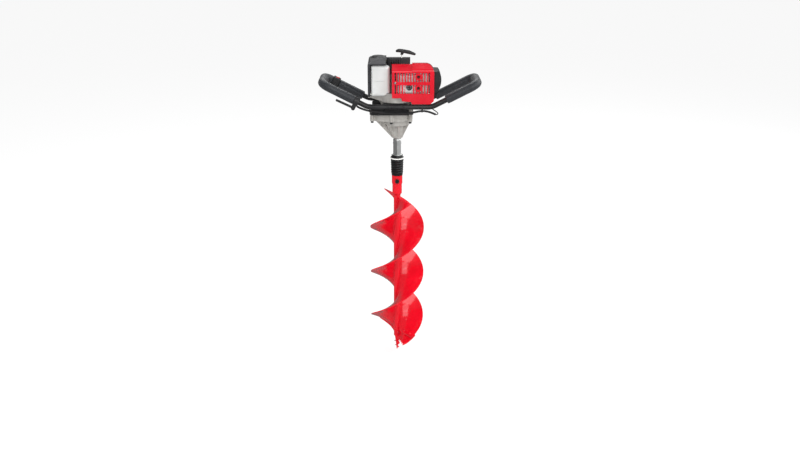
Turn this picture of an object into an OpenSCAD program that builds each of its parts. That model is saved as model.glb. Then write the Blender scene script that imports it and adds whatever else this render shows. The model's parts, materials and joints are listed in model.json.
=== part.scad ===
// One-person petrol earth auger: a two-stroke engine with centrifugal clutch and two-stage reduction
// gearbox on a looped tube handle, driving a double-flight bit through a sprung coupling.
// Millimetres, +Z up, +Y to the back, origin at the tip of the pilot point on the bit's axis.

/* [Bit] */
// Diameter of the hole that the bit cuts
bit_d = 203.2; // [160:0.2:240]
// Diameter of the bit's centre shaft
shaft_d = 25.4; // [22:0.1:28]
// Height of one full turn of a flight
flight_lead = 368; // [320:1:400]
// Turns of each flight
flight_turns = 1.49; // [1.3:0.01:1.6]
// Thickness of the flight plate
flight_t = 3.6; // [2.5:0.1:5]
// Rise of a flight's rim over its root
flight_cant = 10; // [0:1:16]
// Height of the flight rims' lower ends over the pilot tip
flight_bottom = 95; // [88:1:110]
// Thickness of a cutting blade
blade_t = 5; // [3:0.5:6]
// Angle that a cutting blade reaches ahead of its flight
blade_reach = 20; // [14:1:24]
// Teeth on a cutting blade
blade_teeth = 5; // [3:1:7]
// Length of the pilot point below the shaft
pilot_len = 62; // [50:1:70]
// Diameter of the pilot point's root
pilot_d = 22; // [18:0.5:22]

/* [Socket and shock coupling] */
// Bare shaft between the flights and the socket
shaft_free = 12; // [10:0.5:40]
// Length of the socket
socket_len = 73; // [66:0.5:90]
// Outer diameter of the socket's upper part
socket_d = 39.5; // [38:0.5:46]
// Outer diameter of the socket's lower part
socket_lower_d = 35.5; // [33:0.5:37]
// Diameter of the socket's cross bolt
cross_bolt_d = 10; // [8:0.5:12]
// Length of the boot
boot_len = 78.5; // [70:0.5:90]
// Largest diameter of the boot
boot_d = 48; // [45:0.5:54]
// Ribs on the boot
boot_ribs = 6; // [4:1:8]
// Wire of the shock spring
spring_wire = 5.5; // [4:0.5:6]
// Turns of the shock spring
spring_turns = 6; // [4:1:7]
// Travel of the shock coupling
shock_travel = 10; // [4:1:14]
// Width across the flats of the hex coupling
coupling_af = 29; // [28:0.5:33]
// Length of the hex coupling
coupling_len = 61; // [50:1:70]

/* [Gearbox] */
// Tooth module of both gear pairs
gear_module = 1.25; // [1.2:0.01:1.3]
// Teeth of both large gears
gear_teeth = 63; // [61:1:64]
// Teeth of both pinions
pinion_teeth = 10; // [9:1:12]
// Diameter of the output shaft
out_shaft_d = 20; // [18:0.5:21]
// Diameter of the case's neck
neck_d = 43; // [41:0.5:48]
// Height from the neck's end to the cup
neck_h = 53; // [46:0.5:60]
// Height of the cup below the wide lobe
cup_h = 18; // [16:0.5:24]
// Height of the wide lobe's wall
lobe_h = 19.2; // [18:0.1:24]
// Thickness of the case's wall
case_wall = 4.5; // [3.5:0.1:6]
// Thickness of the gearbox cover
cover_plate_t = 6; // [5:0.5:8]

/* [Handle] */
// Outer diameter of the rail tube
rail_d = 19; // [17:0.5:22]
// Wall of the rail tube
rail_wall = 2; // [1.5:0.1:3]
// Distance between the front and the rear rail
rail_w = 140; // [136:1:160]
// Distance from the handle's middle to a leg's bend
rail_half = 112.5; // [108:0.5:125]
// Rise of a leg
leg_angle = 27; // [22:0.5:30]
// Straight length of a leg
leg_len = 150; // [130:1:160]
// Radius of the rail's lower bends
bend_r = 60; // [45:1:70]
// Radius of the loops' corners
corner_r = 30; // [26:1:40]
// Outer diameter of a foam grip
grip_d = 31; // [25:0.5:32]
// Thickness of the bracket's plate
plate_t = 4; // [3:0.5:5]

/* [Engine] */
// Height of the clutch housing
clutch_h = 42; // [42:0.5:48]
// Height of the fan housing
fan_h = 28; // [27:0.5:34]
// Outer diameter of the fan housing
fan_d = 140; // [136:1:150]
// Outer diameter of the clutch drum
drum_d = 78; // [74:0.5:82]
// Height of the crankcase
crankcase_h = 70; // [68:1:80]
// Diameter of the crankshaft
crank_d = 17; // [15:0.5:19]
// Cooling fins on the cylinder
fin_count = 8; // [6:1:9]
// Height of the recoil housing
recoil_h = 58; // [56:1:66]
// Diameter of the starter rope
rope_d = 4; // [3:0.5:5]
// Wall of the moulded covers
skin = 2.5; // [2:0.1:3.2]
// Slots in a row of the red cover
slot_count = 13; // [9:1:14]

/* [Hidden] */
$fn = 64;

// Overshoot of a cut past the face that it opens
cut = 1;
// Radial clearance of a running shaft
run_clear = 0.05;
// Radial clearance of a seated piece
seat_clear = 0.03;
// Gap between pieces that move past each other
free_gap = 0.3;

// Heights of the stack, from the tip upwards
z_flight_top = flight_bottom + flight_lead * flight_turns;
z_socket = z_flight_top + shaft_free;
z_socket_top = z_socket + socket_len;
z_boot_top = z_socket_top + boot_len;
z_coupling_top = z_boot_top + coupling_len;
collar_h = 3.8;
z_neck = z_coupling_top + collar_h + free_gap;
z_cup = z_neck + neck_h;
z_lobe = z_cup + cup_h;
z_case_top = z_lobe + lobe_h;
z_cover_top = z_case_top + cover_plate_t;
z_plate_top = z_cover_top + plate_t;
z_fan = z_plate_top + clutch_h;
z_crankcase = z_fan + fan_h;
z_recoil = z_crankcase + crankcase_h;
z_recoil_top = z_recoil + recoil_h;
rail_rise = 29;
rail_z = z_plate_top + rail_rise;

// Bit and coupling
flight_angle = 299 - 360 * flight_turns;
shaft_r = shaft_d / 2;
pilot_shank_d = 14;
pilot_shank_h = 30;
socket_wall_end = 6;

stub_d = 24;
stub_flange_d = 36;
stub_flange_h = 8;
guide_d = 14;
guide_dip = 6;
guide_low = z_socket_top + stub_flange_h - guide_dip;
stub_bore_low = guide_low - shock_travel - 1.5;
bolt_z = stub_bore_low - 4 - cross_bolt_d / 2;
coupling_flange_h = 13.5;
pin_d = 6;
pin_z = z_coupling_top - 17;
coupling_bore_h = 35;

// Gear train: the idler stands to the left of the bit's axis
gear_r = gear_module * gear_teeth / 2;
pinion_r = gear_module * pinion_teeth / 2;
idler_x = -gear_r - pinion_r;
pressure_angle = 25;
addendum = 0.8 * gear_module;
dedendum = 1.05 * gear_module;
backlash = 0.3;
gear_tip_r = gear_r + addendum;
low_face = 14;
high_face = 11;
z_floor = z_cup + 3;
z_low_gear = z_floor + 1.2;
z_high_gear = z_low_gear + low_face + 5;
idler_journal_d = 9;
idler_seat_d = 12;
bush_d = 16;
bush_h = 8;
top_bush_h = 5;
main_bearing_d = out_shaft_d + 22;
main_bearing_h = 12;
low_bush_d = out_shaft_d + 6;
low_bush_h = 16;
seal_d = out_shaft_d + 12;
seal_h = 6.5;
z_low_bush = z_neck + 10;
input_d = 15;
input_bearing_d = 35;
input_bearing_h = 11;
z_input_bearing = z_plate_top + 1;

// Gearbox outline: a lobe round each gear axis, with six bolt bosses
lobe_r = gear_tip_r + case_wall + 11;
idler_lobe_r = gear_tip_r + case_wall + 5.5;
cup_r = gear_tip_r + case_wall + 2;
boss_r = 7.5;
boss_drop = 1.8;
bolt_d = 6;
bolt_head_d = 10;
bolt_head_h = 6.5;

// Handle
handle_x = 9.5;
rail_y = rail_w / 2;
bend_run = bend_r * tan(leg_angle / 2);
leg_run = leg_len - bend_run;
bracket_x0 = -92;
bracket_x1 = 42;
bracket_lip_top = rail_z + 10;
lip_y = rail_y - rail_d / 2 - seat_clear;
bolt_lip_gap = 1.6;
bolt_cup_gap = 0.5;
bolt_y = lip_y - plate_t - bolt_head_d / 2 - bolt_lip_gap;
bolt_reach = cup_r + bolt_head_d / 2 + bolt_cup_gap;
bolt_x = max(21, sqrt(max(0, bolt_reach * bolt_reach - bolt_y * bolt_y)));
bolt_places = [for (y = [-1, 1]) each [
    [idler_x - idler_lobe_r + 6.5, 30 * y],
    [-bolt_x, bolt_y * y],
    [lobe_r - 9, 40 * y]
]];
rail_bolt_x = [-28.5, 26];
rail_bolt_d = 6;
grip_clear = 0.05;
grip_butt = 0.2;
throttle_u0 = 22;
throttle_len = 18;
left_grip_u = throttle_u0 + throttle_len + 0.3;
right_grip_u = 43;
right_rear_u = 6;
left_rear_u = 9;
switch_len = 28;
switch_u = leg_run - switch_len;
lever_drop = grip_d / 2 + 10.5;
lever_len = 64;
lever_t = 5;
lever_w = 16;
lever_pin_u = throttle_u0 + throttle_len / 2;
lever_pin_d = 5;

// Engine
crank_r = crank_d / 2;
drum_wall = 2.5;
drum_floor = 3;
z_drum = z_plate_top + 15;
drum_h = 22;
z_shoe = z_drum + drum_floor + 2.5;
shoe_h = 13;
shoe_gap = 1.8;
shoe_r = drum_d / 2 - drum_wall - shoe_gap;
shoe_pin_r = 22;
shoe_pin_d = 8;
hub_plate_h = 3;
hub_d = 24;
hub_bore_d = 12;
z_hub_plate = z_shoe + shoe_h + free_gap;
clutch_wall_r = drum_d / 2 + 11;
flywheel_r = fan_d / 2 - 9;
z_flywheel = z_fan + 6;
flywheel_h = 17;
case_plate_t = 4;
case_r = 40;
cyl_z = z_crankcase + 36;
cyl_x0 = 46;
cyl_x1 = 112;
fin_y = 38;
fin_z = 31;
fin_t = 2.4;
fin_end = cyl_x1 - 3 + fin_t;
port_x = 78;
muffler_lo = [2, -82, z_crankcase + 8];
muffler_hi = [112, -48.2, z_crankcase + 78];
cover_lo = [-18, -92, z_crankcase - 29];
cover_hi = [128.5, -50, z_crankcase + 108];
hood_x = 52;
hood_rise = 3;
hood_back = -42;
cover_fold = 16;
cover_fold_run = 34;
cover_fold_r = 10;
cover_screw = [-7.3, z_crankcase + 49];
cover_boss = [[74, z_crankcase + 70], [74, z_crankcase + 30]];
screw_post_d = 10;
screw_d = 4;
dome_r = 56;
dome_c = [101, z_crankcase + 46];
dome_top = z_crankcase + 79;
dome_y = 44;
carb_y = 52;
carb_depth = 36;
filter_y = carb_y + carb_depth;
filter_lo = [38, filter_y, z_crankcase];
filter_hi = [116, filter_y + 42, z_crankcase + 76];
throttle_shaft_d = 6;
choke_pivot = [filter_lo[0] + 12, filter_hi[2] - 14];
primer_d = 18;
tank_lo = [-93, -62, z_crankcase - 6];
tank_hi = [-25, 62, z_crankcase + 104];
tank_r = 12;
saddle_r = case_r + 5;
tank_neck = [-68, 34];
tank_neck_d = 34;
cap_d = 42;
cap_h = 14;
guard_t = 8;
guard_gap = 2;
recoil_x = 4;
recoil_half = 42;
pulley_r = 26;
pulley_h = 10;
z_pulley = z_recoil + 29;
z_rope = z_pulley + pulley_h / 2;
post_d = 14;
cup_start_r = 24;
rope_at = [16, -44];
rope_top = z_recoil_top + 11;
rope_bend = 6;

// Control cable: [x, y, height over the rail's centre]
loom_d = 8;
loom_route = [
    [-142, -70, 3], [-132, -70, -3], [-116, -71, -9], [-96, -72, -13.8], [-60, -73, -19], [-20, -73, -23],
    [20, -73, -24], [56, -73, -19], [88, -73, -13.8], [112, -73, -17], [136, -74, -26]
];
strand_d = 3.5;
strand_route = [
    [136.4, -74, -26], [142, -72, -26], [144, -66, -23], [136, -60, -17], [120, -53, -7], [108, -40, 3],
    [102, -15, 8], [100, 15, 11], [99, 36, 18], [100, 48, 34], [102, 55, 54], [103, 58, 74], [101, 58, 91],
    [97.8, 58, 98]
];

// Colours
red = [0.82, 0.06, 0.09];
black = [0.08, 0.08, 0.09];
charcoal = [0.16, 0.17, 0.18];
alloy = [0.72, 0.71, 0.68];
steel = [0.62, 0.63, 0.65];
zinc = [0.7, 0.74, 0.74];
clear_white = [0.9, 0.9, 0.88];

// Solid shapes

module ring(od, id, h) {
    difference() {
        cylinder(d = od, h = h);
        translate([0, 0, -cut]) cylinder(d = id, h = h + 2 * cut);
    }
}

module extrude_x(x0, x1) {
    translate([x0, 0, 0]) rotate([90, 0, 90]) linear_extrude(x1 - x0) children();
}

module extrude_y(y0, y1) {
    translate([0, y1, 0]) rotate([90, 0, 0]) linear_extrude(y1 - y0) children();
}

module extrude_z(z0, z1) {
    translate([0, 0, z0]) linear_extrude(z1 - z0) children();
}

module rod_x(d, x0, x1, y, z) {
    translate([x0, y, z]) rotate([0, 90, 0]) cylinder(d = d, h = x1 - x0);
}

module rod_y(d, y0, y1, x, z) {
    translate([x, y0, z]) rotate([-90, 0, 0]) cylinder(d = d, h = y1 - y0);
}

module rod_z(d, z0, z1, x = 0, y = 0) {
    translate([x, y, z0]) cylinder(d = d, h = z1 - z0);
}

module box(lo, hi) {
    translate(lo) cube(hi - lo);
}

module round_rect(lo, hi, r) {
    translate([lo[0] + r, lo[1]]) square([hi[0] - lo[0] - 2 * r, hi[1] - lo[1]]);
    translate([lo[0], lo[1] + r]) square([hi[0] - lo[0], hi[1] - lo[1] - 2 * r]);
    for (x = [lo[0] + r, hi[0] - r], y = [lo[1] + r, hi[1] - r]) translate([x, y]) circle(r = r);
}

module round_block(lo, hi, r) {
    intersection() {
        extrude_z(lo[2], hi[2]) round_rect([lo[0], lo[1]], [hi[0], hi[1]], r);
        extrude_y(lo[1], hi[1]) round_rect([lo[0], lo[2]], [hi[0], hi[2]], r);
        extrude_x(lo[0], hi[0]) round_rect([lo[1], lo[2]], [hi[1], hi[2]], r);
    }
}

// A ball bearing with its races set apart by a sunk shield
module bearing(od, id, h) {
    shield = h / 8;
    land = (od - id) / 8;
    difference() {
        ring(od, id, h);
        for (z = [-cut, h - shield]) translate([0, 0, z]) ring(od - 2 * land, id + 2 * land, shield + cut);
    }
}

// Flat list of a grid's points
function flat(rows) = [for (row = rows) each row];

// A plate between two grids of points that have the same rows and columns
module grid_plate(low, high) {
    n = len(low);
    m = len(low[0]);
    half = n * m;
    cells = [for (i = [0 : n - 2], j = [0 : m - 2]) let (a = i * m + j, b = a + m) [a, a + 1, b + 1, b]];
    edge = concat(
        [for (j = [0 : m - 1]) j],
        [for (i = [1 : n - 1]) i * m + m - 1],
        [for (j = [1 : m - 1]) (n - 1) * m + m - 1 - j],
        [for (i = [1 : n - 2]) (n - 1 - i) * m]
    );
    polyhedron(concat(flat(low), flat(high)), concat(
        [for (c = cells) each [[c[0], c[1], c[2]], [c[0], c[2], c[3]]]],
        [for (c = cells) each [[c[2] + half, c[1] + half, c[0] + half],
            [c[3] + half, c[2] + half, c[0] + half]]],
        [for (k = [0 : len(edge) - 1]) let (a = edge[k], b = edge[(k + 1) % len(edge)])
            each [[a, a + half, b + half], [a, b + half, b]]]
    ));
}

// A closed tube through rings of points
module ring_tube(rings) {
    n = len(rings);
    m = len(rings[0]);
    polyhedron(flat(rings), concat(
        [for (i = [0 : n - 2], j = [0 : m - 1]) let (a = i * m + j, b = i * m + (j + 1) % m)
            each [[a, b, b + m], [a, b + m, a + m]]],
        [for (j = [1 : m - 2]) [0, j + 1, j]],
        [for (j = [1 : m - 2]) [(n - 1) * m, (n - 1) * m + j, (n - 1) * m + j + 1]]
    ));
}

function unit(v) = v / norm(v);

// Rings of a round tube along points, with a fixed side direction to start from
function tube_rings(points, d, sides) = [
    for (i = [0 : len(points) - 1])
    let (
        ahead = unit(points[min(i + 1, len(points) - 1)] - points[max(i - 1, 0)]),
        side = unit(cross(ahead, abs(ahead[2]) > 0.95 ? [1, 0, 0] : [0, 0, 1])),
        over = cross(side, ahead)
    )
    [for (k = [0 : sides - 1]) let (a = 360 * k / sides) points[i] + d / 2 * (cos(a) * side + sin(a) * over)]
];

// A smooth curve through points, with steps along each stretch
function smooth(p, steps) = concat([for (i = [0 : len(p) - 2], s = [0 : steps - 1])
    let (
        t = s / steps,
        a = p[max(i - 1, 0)],
        b = p[i],
        c = p[i + 1],
        d = p[min(i + 2, len(p) - 1)]
    )
    b + 0.5 * t * ((c - a) + t * ((2 * a - 5 * b + 4 * c - d) + t * (3 * b - a - 3 * c + d)))],
        [p[len(p) - 1]]);

// Bit

// Height of a flight's middle surface over its lower rim end, at radius r, a degrees on
function flight_z(r, a) = flight_lead * a / 360 + flight_cant * (r - bit_d / 2) / (bit_d / 2 - shaft_r);
// Half height of a plate of thickness t that lies along the helix at radius r
function helix_half(r, t) = t / 2 * sqrt(1 + pow(flight_lead / (2 * PI * r), 2));
function polar(r, a, z) = [r * cos(a), r * sin(a), z];

module flight(start) {
    step = 7.5;
    steps = round(360 * flight_turns / step);
    root_r = (shaft_r + run_clear) / cos(360 * flight_turns / steps / 2);
    columns = 8;
    radii = [for (k = [0 : columns]) root_r + (bit_d / 2 - root_r) * pow(k / columns, 1.35)];
    angles = [for (i = [0 : steps]) 360 * flight_turns * i / steps];
    color(red) grid_plate(
        [for (a = angles) [for (r = radii)
            polar(r, start + a, flight_bottom + flight_z(r, a) - helix_half(r, flight_t))]],
        [for (a = angles) [for (r = radii)
            polar(r, start + a, flight_bottom + flight_z(r, a) + helix_half(r, flight_t))]]
    );
}

module flight_a() {
    flight(flight_angle);
}

module flight_b() {
    flight(flight_angle + 180);
}

// A blade lies under the lower end of its flight and reaches ahead of it with a toothed edge
module blade(start) {
    tooth_depth = 9;
    hold = 10;
    blade_gap = 0.85;
    inner_r = shaft_r + 4;
    outer_r = bit_d / 2 + 1.5;
    columns = blade_teeth * 4;
    rows = 4;
    radii = [for (k = [0 : columns]) inner_r + (outer_r - inner_r) * k / columns];
    notch = [for (k = [0 : columns]) tooth_depth * (1 - abs(sin(180 * blade_teeth * k / columns)))];
    grid = [for (s = [0 : rows]) [for (k = [0 : columns])
        let (a = (notch[k] - blade_reach) * (1 - s / rows) + hold * s / rows, r = radii[k])
        [r, a, flight_bottom + flight_z(r, a) - helix_half(r, flight_t) - helix_half(r, blade_t) - blade_gap]]];
    color(red) grid_plate(
        [for (row = grid) [for (p = row) polar(p[0], start + p[1], p[2] - helix_half(p[0], blade_t))]],
        [for (row = grid) [for (p = row) polar(p[0], start + p[1], p[2] + helix_half(p[0], blade_t))]]
    );
}

module cutting_blades() {
    blade(flight_angle);
    blade(flight_angle + 180);
}

// Screw point: a tapered core with a coarse thread
module pilot_point() {
    turns = 2.5;
    steps = 40;
    thread_low = 6;
    thread_top = pilot_len - 6;
    crest = 6;
    tip_r = 1.5;
    root_r = pilot_d / 2 - 2;
    function core_r(z) = tip_r + (root_r - tip_r) * z / pilot_len;
    color(red) union() {
        rotate_extrude() polygon([[0, 0], [tip_r, 0], [root_r, pilot_len - 3], [pilot_d / 2, pilot_len],
            [0, pilot_len]]);
        rod_z(pilot_shank_d, pilot_len - cut, pilot_len + pilot_shank_h);
        ring_tube([for (i = [0 : steps])
            let (
                z = thread_low + (thread_top - thread_low) * i / steps,
                a = 360 * turns * i / steps,
                r = core_r(z),
                thick = 2.6
            )
            [polar(r - 1, a, z - thick), polar(r + crest * min(1, 4 * (1 - i / steps)), a, z),
                polar(r - 1, a, z + thick)]]);
    }
}

module bit_shaft() {
    color(red) difference() {
        rod_z(shaft_d, pilot_len, z_socket_top - socket_len / 2);
        rod_z(pilot_shank_d + 2 * seat_clear, pilot_len - cut, pilot_len + pilot_shank_h + cut);
    }
}

module bit_socket() {
    step_z = z_socket + socket_len * 0.54;
    chamfer = 3;
    lower_r = socket_lower_d / 2;
    upper_r = socket_d / 2;
    seat_z = z_socket_top - socket_len / 2;
    color(red) difference() {
        rotate_extrude() polygon([
            [0, z_socket], [lower_r - chamfer, z_socket], [lower_r, z_socket + chamfer], [lower_r, step_z],
            [upper_r, step_z + chamfer / 2], [upper_r, z_socket_top], [0, z_socket_top]
        ]);
        rod_z(shaft_d + 2 * seat_clear, z_socket - cut, seat_z + seat_clear);
        rod_z(stub_d + 2 * seat_clear, seat_z + socket_wall_end, z_socket_top + cut);
        rod_y(cross_bolt_d + 2 * seat_clear, -socket_d, socket_d, 0, bolt_z);
    }
}

module socket_bolt() {
    head_d = 16;
    head_h = 8;
    nut_af = 17;
    nut_h = 9;
    hex_af = 8;
    face = socket_d / 2;
    color(black) {
        difference() {
            union() {
                rod_y(cross_bolt_d, -face - cut, face + nut_h + 2, 0, bolt_z);
                rod_y(head_d, -face - head_h, -face - seat_clear, 0, bolt_z);
            }
            translate([0, -face - head_h - cut, bolt_z]) rotate([-90, 0, 0])
                cylinder(d = hex_af / cos(30), h = head_h / 2 + cut, $fn = 6);
        }
        translate([0, face + seat_clear, bolt_z]) rotate([-90, 0, 0]) difference() {
            cylinder(d = nut_af / cos(30), h = nut_h, $fn = 6);
            translate([0, 0, -cut]) cylinder(d = cross_bolt_d + 2 * seat_clear, h = nut_h + 2 * cut);
        }
    }
}

// Shock coupling

module shock_stub() {
    low = z_socket_top - socket_len / 2 + socket_wall_end;
    color(steel) difference() {
        union() {
            rod_z(stub_d, low, z_socket_top + cut);
            rod_z(stub_flange_d, z_socket_top, z_socket_top + stub_flange_h);
        }
        rod_z(guide_d + 2 * run_clear, stub_bore_low, z_socket_top + stub_flange_h + cut);
        rod_y(cross_bolt_d + 2 * seat_clear, -socket_d, socket_d, 0, bolt_z);
    }
}

spring_d = 25;
spring_low = z_socket_top + stub_flange_h + spring_wire / 2 + free_gap;
spring_high = z_boot_top - coupling_flange_h - spring_wire / 2 - free_gap;
spring_pitch = (spring_high - spring_low) / spring_turns;
echo(shock_spring_least_gap = spring_pitch - spring_wire);

module shock_spring() {
    per_turn = 16;
    count = spring_turns * per_turn;
    color(steel) ring_tube(tube_rings(
        [for (i = [0 : count]) polar(spring_d / 2, 360 * i / per_turn,
            spring_low + (spring_high - spring_low) * i / count)],
        spring_wire, 8));
}

boot_wall = 2;
boot_cuff_d = 41;
boot_foot_d = 41.5;
boot_low_cuff = 7;
boot_high_cuff = 17;

module boot() {
    rib_h = (boot_len - boot_low_cuff - boot_high_cuff) / boot_ribs;
    low_z = z_socket_top + free_gap;
    rib_z = z_socket_top + boot_low_cuff;
    function crest_r(k) = boot_foot_d / 2 + (boot_d - boot_foot_d) / 4 * (1 + k / boot_ribs);
    function valley_r(k) = crest_r(k) - 3.2;
    ribs = [for (k = [0 : boot_ribs - 1]) each [
        [valley_r(k), rib_z + rib_h * k],
        [crest_r(k), rib_z + rib_h * (k + 0.3)],
        [crest_r(k), rib_z + rib_h * (k + 0.7)]
    ]];
    outer = concat([[boot_foot_d / 2, low_z]], ribs, [
        [valley_r(boot_ribs), rib_z + rib_h * boot_ribs], [boot_d / 2, rib_z + rib_h * boot_ribs + 2],
        [boot_d / 2, z_boot_top - 9], [boot_cuff_d / 2, z_boot_top - 7], [boot_cuff_d / 2, z_boot_top]
    ]);
    foot_in = stub_flange_d / 2 + free_gap;
    head_in = stub_flange_d / 2 + run_clear;
    inner = concat([[foot_in, low_z]], [for (p = ribs) [max(p[0] - boot_wall, foot_in), p[1] ]], [
        [head_in, z_boot_top - coupling_flange_h], [head_in, z_boot_top]
    ]);
    color(black) rotate_extrude() polygon(concat(outer, [for (i = [len(inner) - 1 : -1 : 0]) inner[i]]));
}

module boot_ring() {
    ring_h = 4;
    color(clear_white) translate([0, 0, z_boot_top - 9 - ring_h - 1])
        ring(boot_d + 2.4, boot_d + 2 * seat_clear, ring_h);
}

// Hex bar with turned ends, a flange for the boot and a guide that slides in the stub
module hex_coupling() {
    corner_d = coupling_af / cos(30);
    chamfer = 4;
    color(zinc) difference() {
        union() {
            intersection() {
                rotate([0, 0, 30]) rod_z(corner_d, z_boot_top, z_coupling_top, $fn = 6);
                rotate_extrude() polygon([
                    [0, z_boot_top], [corner_d / 2 - chamfer / 2, z_boot_top],
                        [corner_d / 2, z_boot_top + chamfer],
                    [corner_d / 2, z_coupling_top - 2 * chamfer], [corner_d / 2 - chamfer, z_coupling_top],
                    [0, z_coupling_top]
                ]);
            }
            rod_z(stub_flange_d, z_boot_top - coupling_flange_h, z_boot_top + cut / 10);
            rod_z(guide_d, guide_low, z_boot_top);
        }
        rod_z(out_shaft_d + 2 * seat_clear, z_coupling_top - coupling_bore_h, z_coupling_top + cut);
        rod_x(pin_d + 2 * seat_clear, -corner_d, corner_d, 0, pin_z);
    }
}

module coupling_pin() {
    color(steel) rod_x(pin_d, -coupling_af / 2 - 1, coupling_af / 2 + 1, 0, pin_z);
}

// Gearbox

function involute(a) = tan(a) * 180 / PI - a;
// Half angle of a tooth at radius r on a gear of pitch radius p
function tooth_half(p, teeth, r) =
    let (base = p * cos(pressure_angle))
    90 / teeth - backlash / 4 / p * 180 / PI + involute(pressure_angle) - involute(acos(min(1, base / r)));

module gear_shape(teeth) {
    p = gear_module * teeth / 2;
    tip = p + addendum;
    root = p - dedendum;
    low = max(root, p * cos(pressure_angle));
    mid = (low + tip) / 2;
    flank = [for (r = [root, low, mid, tip]) [r, tooth_half(p, teeth, max(r, low))]];
    polygon([for (k = [0 : teeth - 1]) each concat(
        [for (f = flank) f[0] * [cos(360 * k / teeth - f[1]), sin(360 * k / teeth - f[1])]],
        [for (i = [3 : -1 : 0]) flank[i][0] * [cos(360 * k / teeth + flank[i][1]),
            sin(360 * k / teeth + flank[i][1])]]
    )]);
}

module output_shaft() {
    collar_d = out_shaft_d + 4;
    color(steel) difference() {
        union() {
            rod_z(out_shaft_d, z_coupling_top - coupling_bore_h + 1, z_low_gear + low_face + 1.5);
            rod_z(collar_d, z_coupling_top + seat_clear, z_coupling_top + collar_h);
        }
        rod_x(pin_d + 2 * seat_clear, -out_shaft_d, out_shaft_d, 0, pin_z);
    }
}

module output_gear() {
    web_d = out_shaft_d + 12;
    rim_d = 2 * (gear_r - dedendum) - 8;
    sink = low_face / 4;
    color(steel) difference() {
        translate([0, 0, z_low_gear]) linear_extrude(low_face) rotate(180) gear_shape(gear_teeth);
        rod_z(out_shaft_d + 2 * seat_clear, z_low_gear - cut, z_low_gear + low_face + cut);
        for (z = [z_low_gear - cut, z_low_gear + low_face - sink])
            translate([0, 0, z]) ring(rim_d, web_d, sink + cut);
    }
}

module idler_shaft() {
    color(steel) translate([idler_x, 0, 0]) union() {
        translate([0, 0, z_floor + 0.7]) linear_extrude(low_face + 2) rotate(180 / pinion_teeth)
            gear_shape(pinion_teeth);
        rod_z(idler_journal_d, z_floor - bush_h + 1, z_case_top + top_bush_h - 1);
        rod_z(idler_seat_d, z_high_gear - 1.5, z_high_gear + high_face + 1);
    }
}

module idler_gear() {
    rim_d = 2 * (gear_r - dedendum) - 8;
    sink = high_face / 4;
    color(steel) translate([idler_x, 0, z_high_gear]) difference() {
        linear_extrude(high_face) rotate(180 / gear_teeth) gear_shape(gear_teeth);
        translate([0, 0, -cut]) cylinder(d = idler_seat_d + 2 * seat_clear, h = high_face + 2 * cut);
        for (z = [-cut, high_face - sink])
            translate([0, 0, z]) ring(rim_d, idler_seat_d + 12, sink + cut);
    }
}

module gearbox_outline() {
    circle(r = lobe_r);
    translate([idler_x, 0]) circle(r = idler_lobe_r);
    polygon([[0, -lobe_r], [0, lobe_r], [idler_x, idler_lobe_r], [idler_x, -idler_lobe_r]]);
}

module gearbox_flange() {
    gearbox_outline();
    for (p = bolt_places) translate(p) circle(r = boss_r);
}

module bolt_holes(z0, z1) {
    for (p = bolt_places) rod_z(bolt_d + 2 * seat_clear, z0, z1, p[0], p[1]);
}

module gearbox_case() {
    room = 2;
    neck_r = neck_d / 2;
    cone_r = neck_r + 7;
    rib_t = 7;
    chamfer = 2.5;
    rib_low = z_neck + 6;
    cavity_r = gear_tip_r + room;
    rib_angles = [20, 80, 140, 220, 280, 340];
    color(alloy) difference() {
        union() {
            extrude_z(z_lobe, z_case_top) gearbox_outline();
            for (p = bolt_places) rod_z(2 * boss_r, z_lobe - boss_drop, z_case_top, p[0], p[1]);
            rod_z(2 * cup_r, z_cup, z_lobe + cut);
            rod_z(2 * boss_r + 13, z_floor - bush_h - 3, z_lobe + cut, idler_x);
            rotate_extrude() polygon([
                [0, z_neck], [neck_r - chamfer, z_neck], [neck_r, z_neck + chamfer], [cone_r, z_cup + cut],
                    [0, z_cup + cut]
            ]);
            for (a = rib_angles) rotate([0, 0, a]) extrude_y(-rib_t / 2, rib_t / 2)
                polygon([[0, rib_low], [neck_r, rib_low], [cup_r - 2, z_cup], [cup_r - 2, z_cup + cut],
                    [0, z_cup + cut]]);
            extrude_y(-rib_t, rib_t) polygon([
                [0, rib_low - 3], [-neck_r + 1, rib_low - 3], [idler_x - idler_lobe_r + 12, z_lobe],
                [idler_x - idler_lobe_r + 12, z_lobe + cut], [0, z_lobe + cut]
            ]);
        }
        rod_z(2 * cavity_r, z_floor, z_case_top + cut);
        rod_z(2 * (pinion_r + addendum + room), z_floor, z_case_top + cut, idler_x);
        rod_z(2 * cavity_r, z_high_gear - room, z_case_top + cut, idler_x);
        rod_z(bush_d + 2 * seat_clear, z_floor - bush_h, z_floor + cut, idler_x);
        rod_z(out_shaft_d + 1, z_neck - cut, z_floor);
        rod_z(main_bearing_d + 2 * seat_clear, z_floor - main_bearing_h, z_floor + cut);
        rod_z(low_bush_d + 2 * seat_clear, z_low_bush, z_floor);
        rod_z(seal_d + 2 * seat_clear, z_neck - cut, z_neck + seal_h);
        bolt_holes(z_lobe - boss_drop - cut, z_case_top + cut);
    }
}

module gearbox_cover() {
    pinion_hole = 2 * (pinion_r + addendum) + 2;
    color(alloy) difference() {
        extrude_z(z_case_top, z_cover_top) gearbox_flange();
        rod_z(pinion_hole, z_case_top - cut, z_cover_top + cut);
        rod_z(bush_d + 2 * seat_clear, z_case_top - cut, z_case_top + top_bush_h, idler_x);
        bolt_holes(z_case_top - cut, z_cover_top + cut);
    }
}

module gearbox_bolts() {
    head_z = z_lobe - boss_drop;
    hex_af = 5;
    color(black) for (p = bolt_places) translate([p[0], p[1], 0]) difference() {
        union() {
            rod_z(bolt_d, head_z - cut, z_plate_top + 7);
            rod_z(bolt_head_d, head_z - bolt_head_h, head_z - seat_clear);
        }
        rod_z(hex_af / cos(30), head_z - bolt_head_h - cut, head_z - bolt_head_h / 2, $fn = 6);
    }
}

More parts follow.
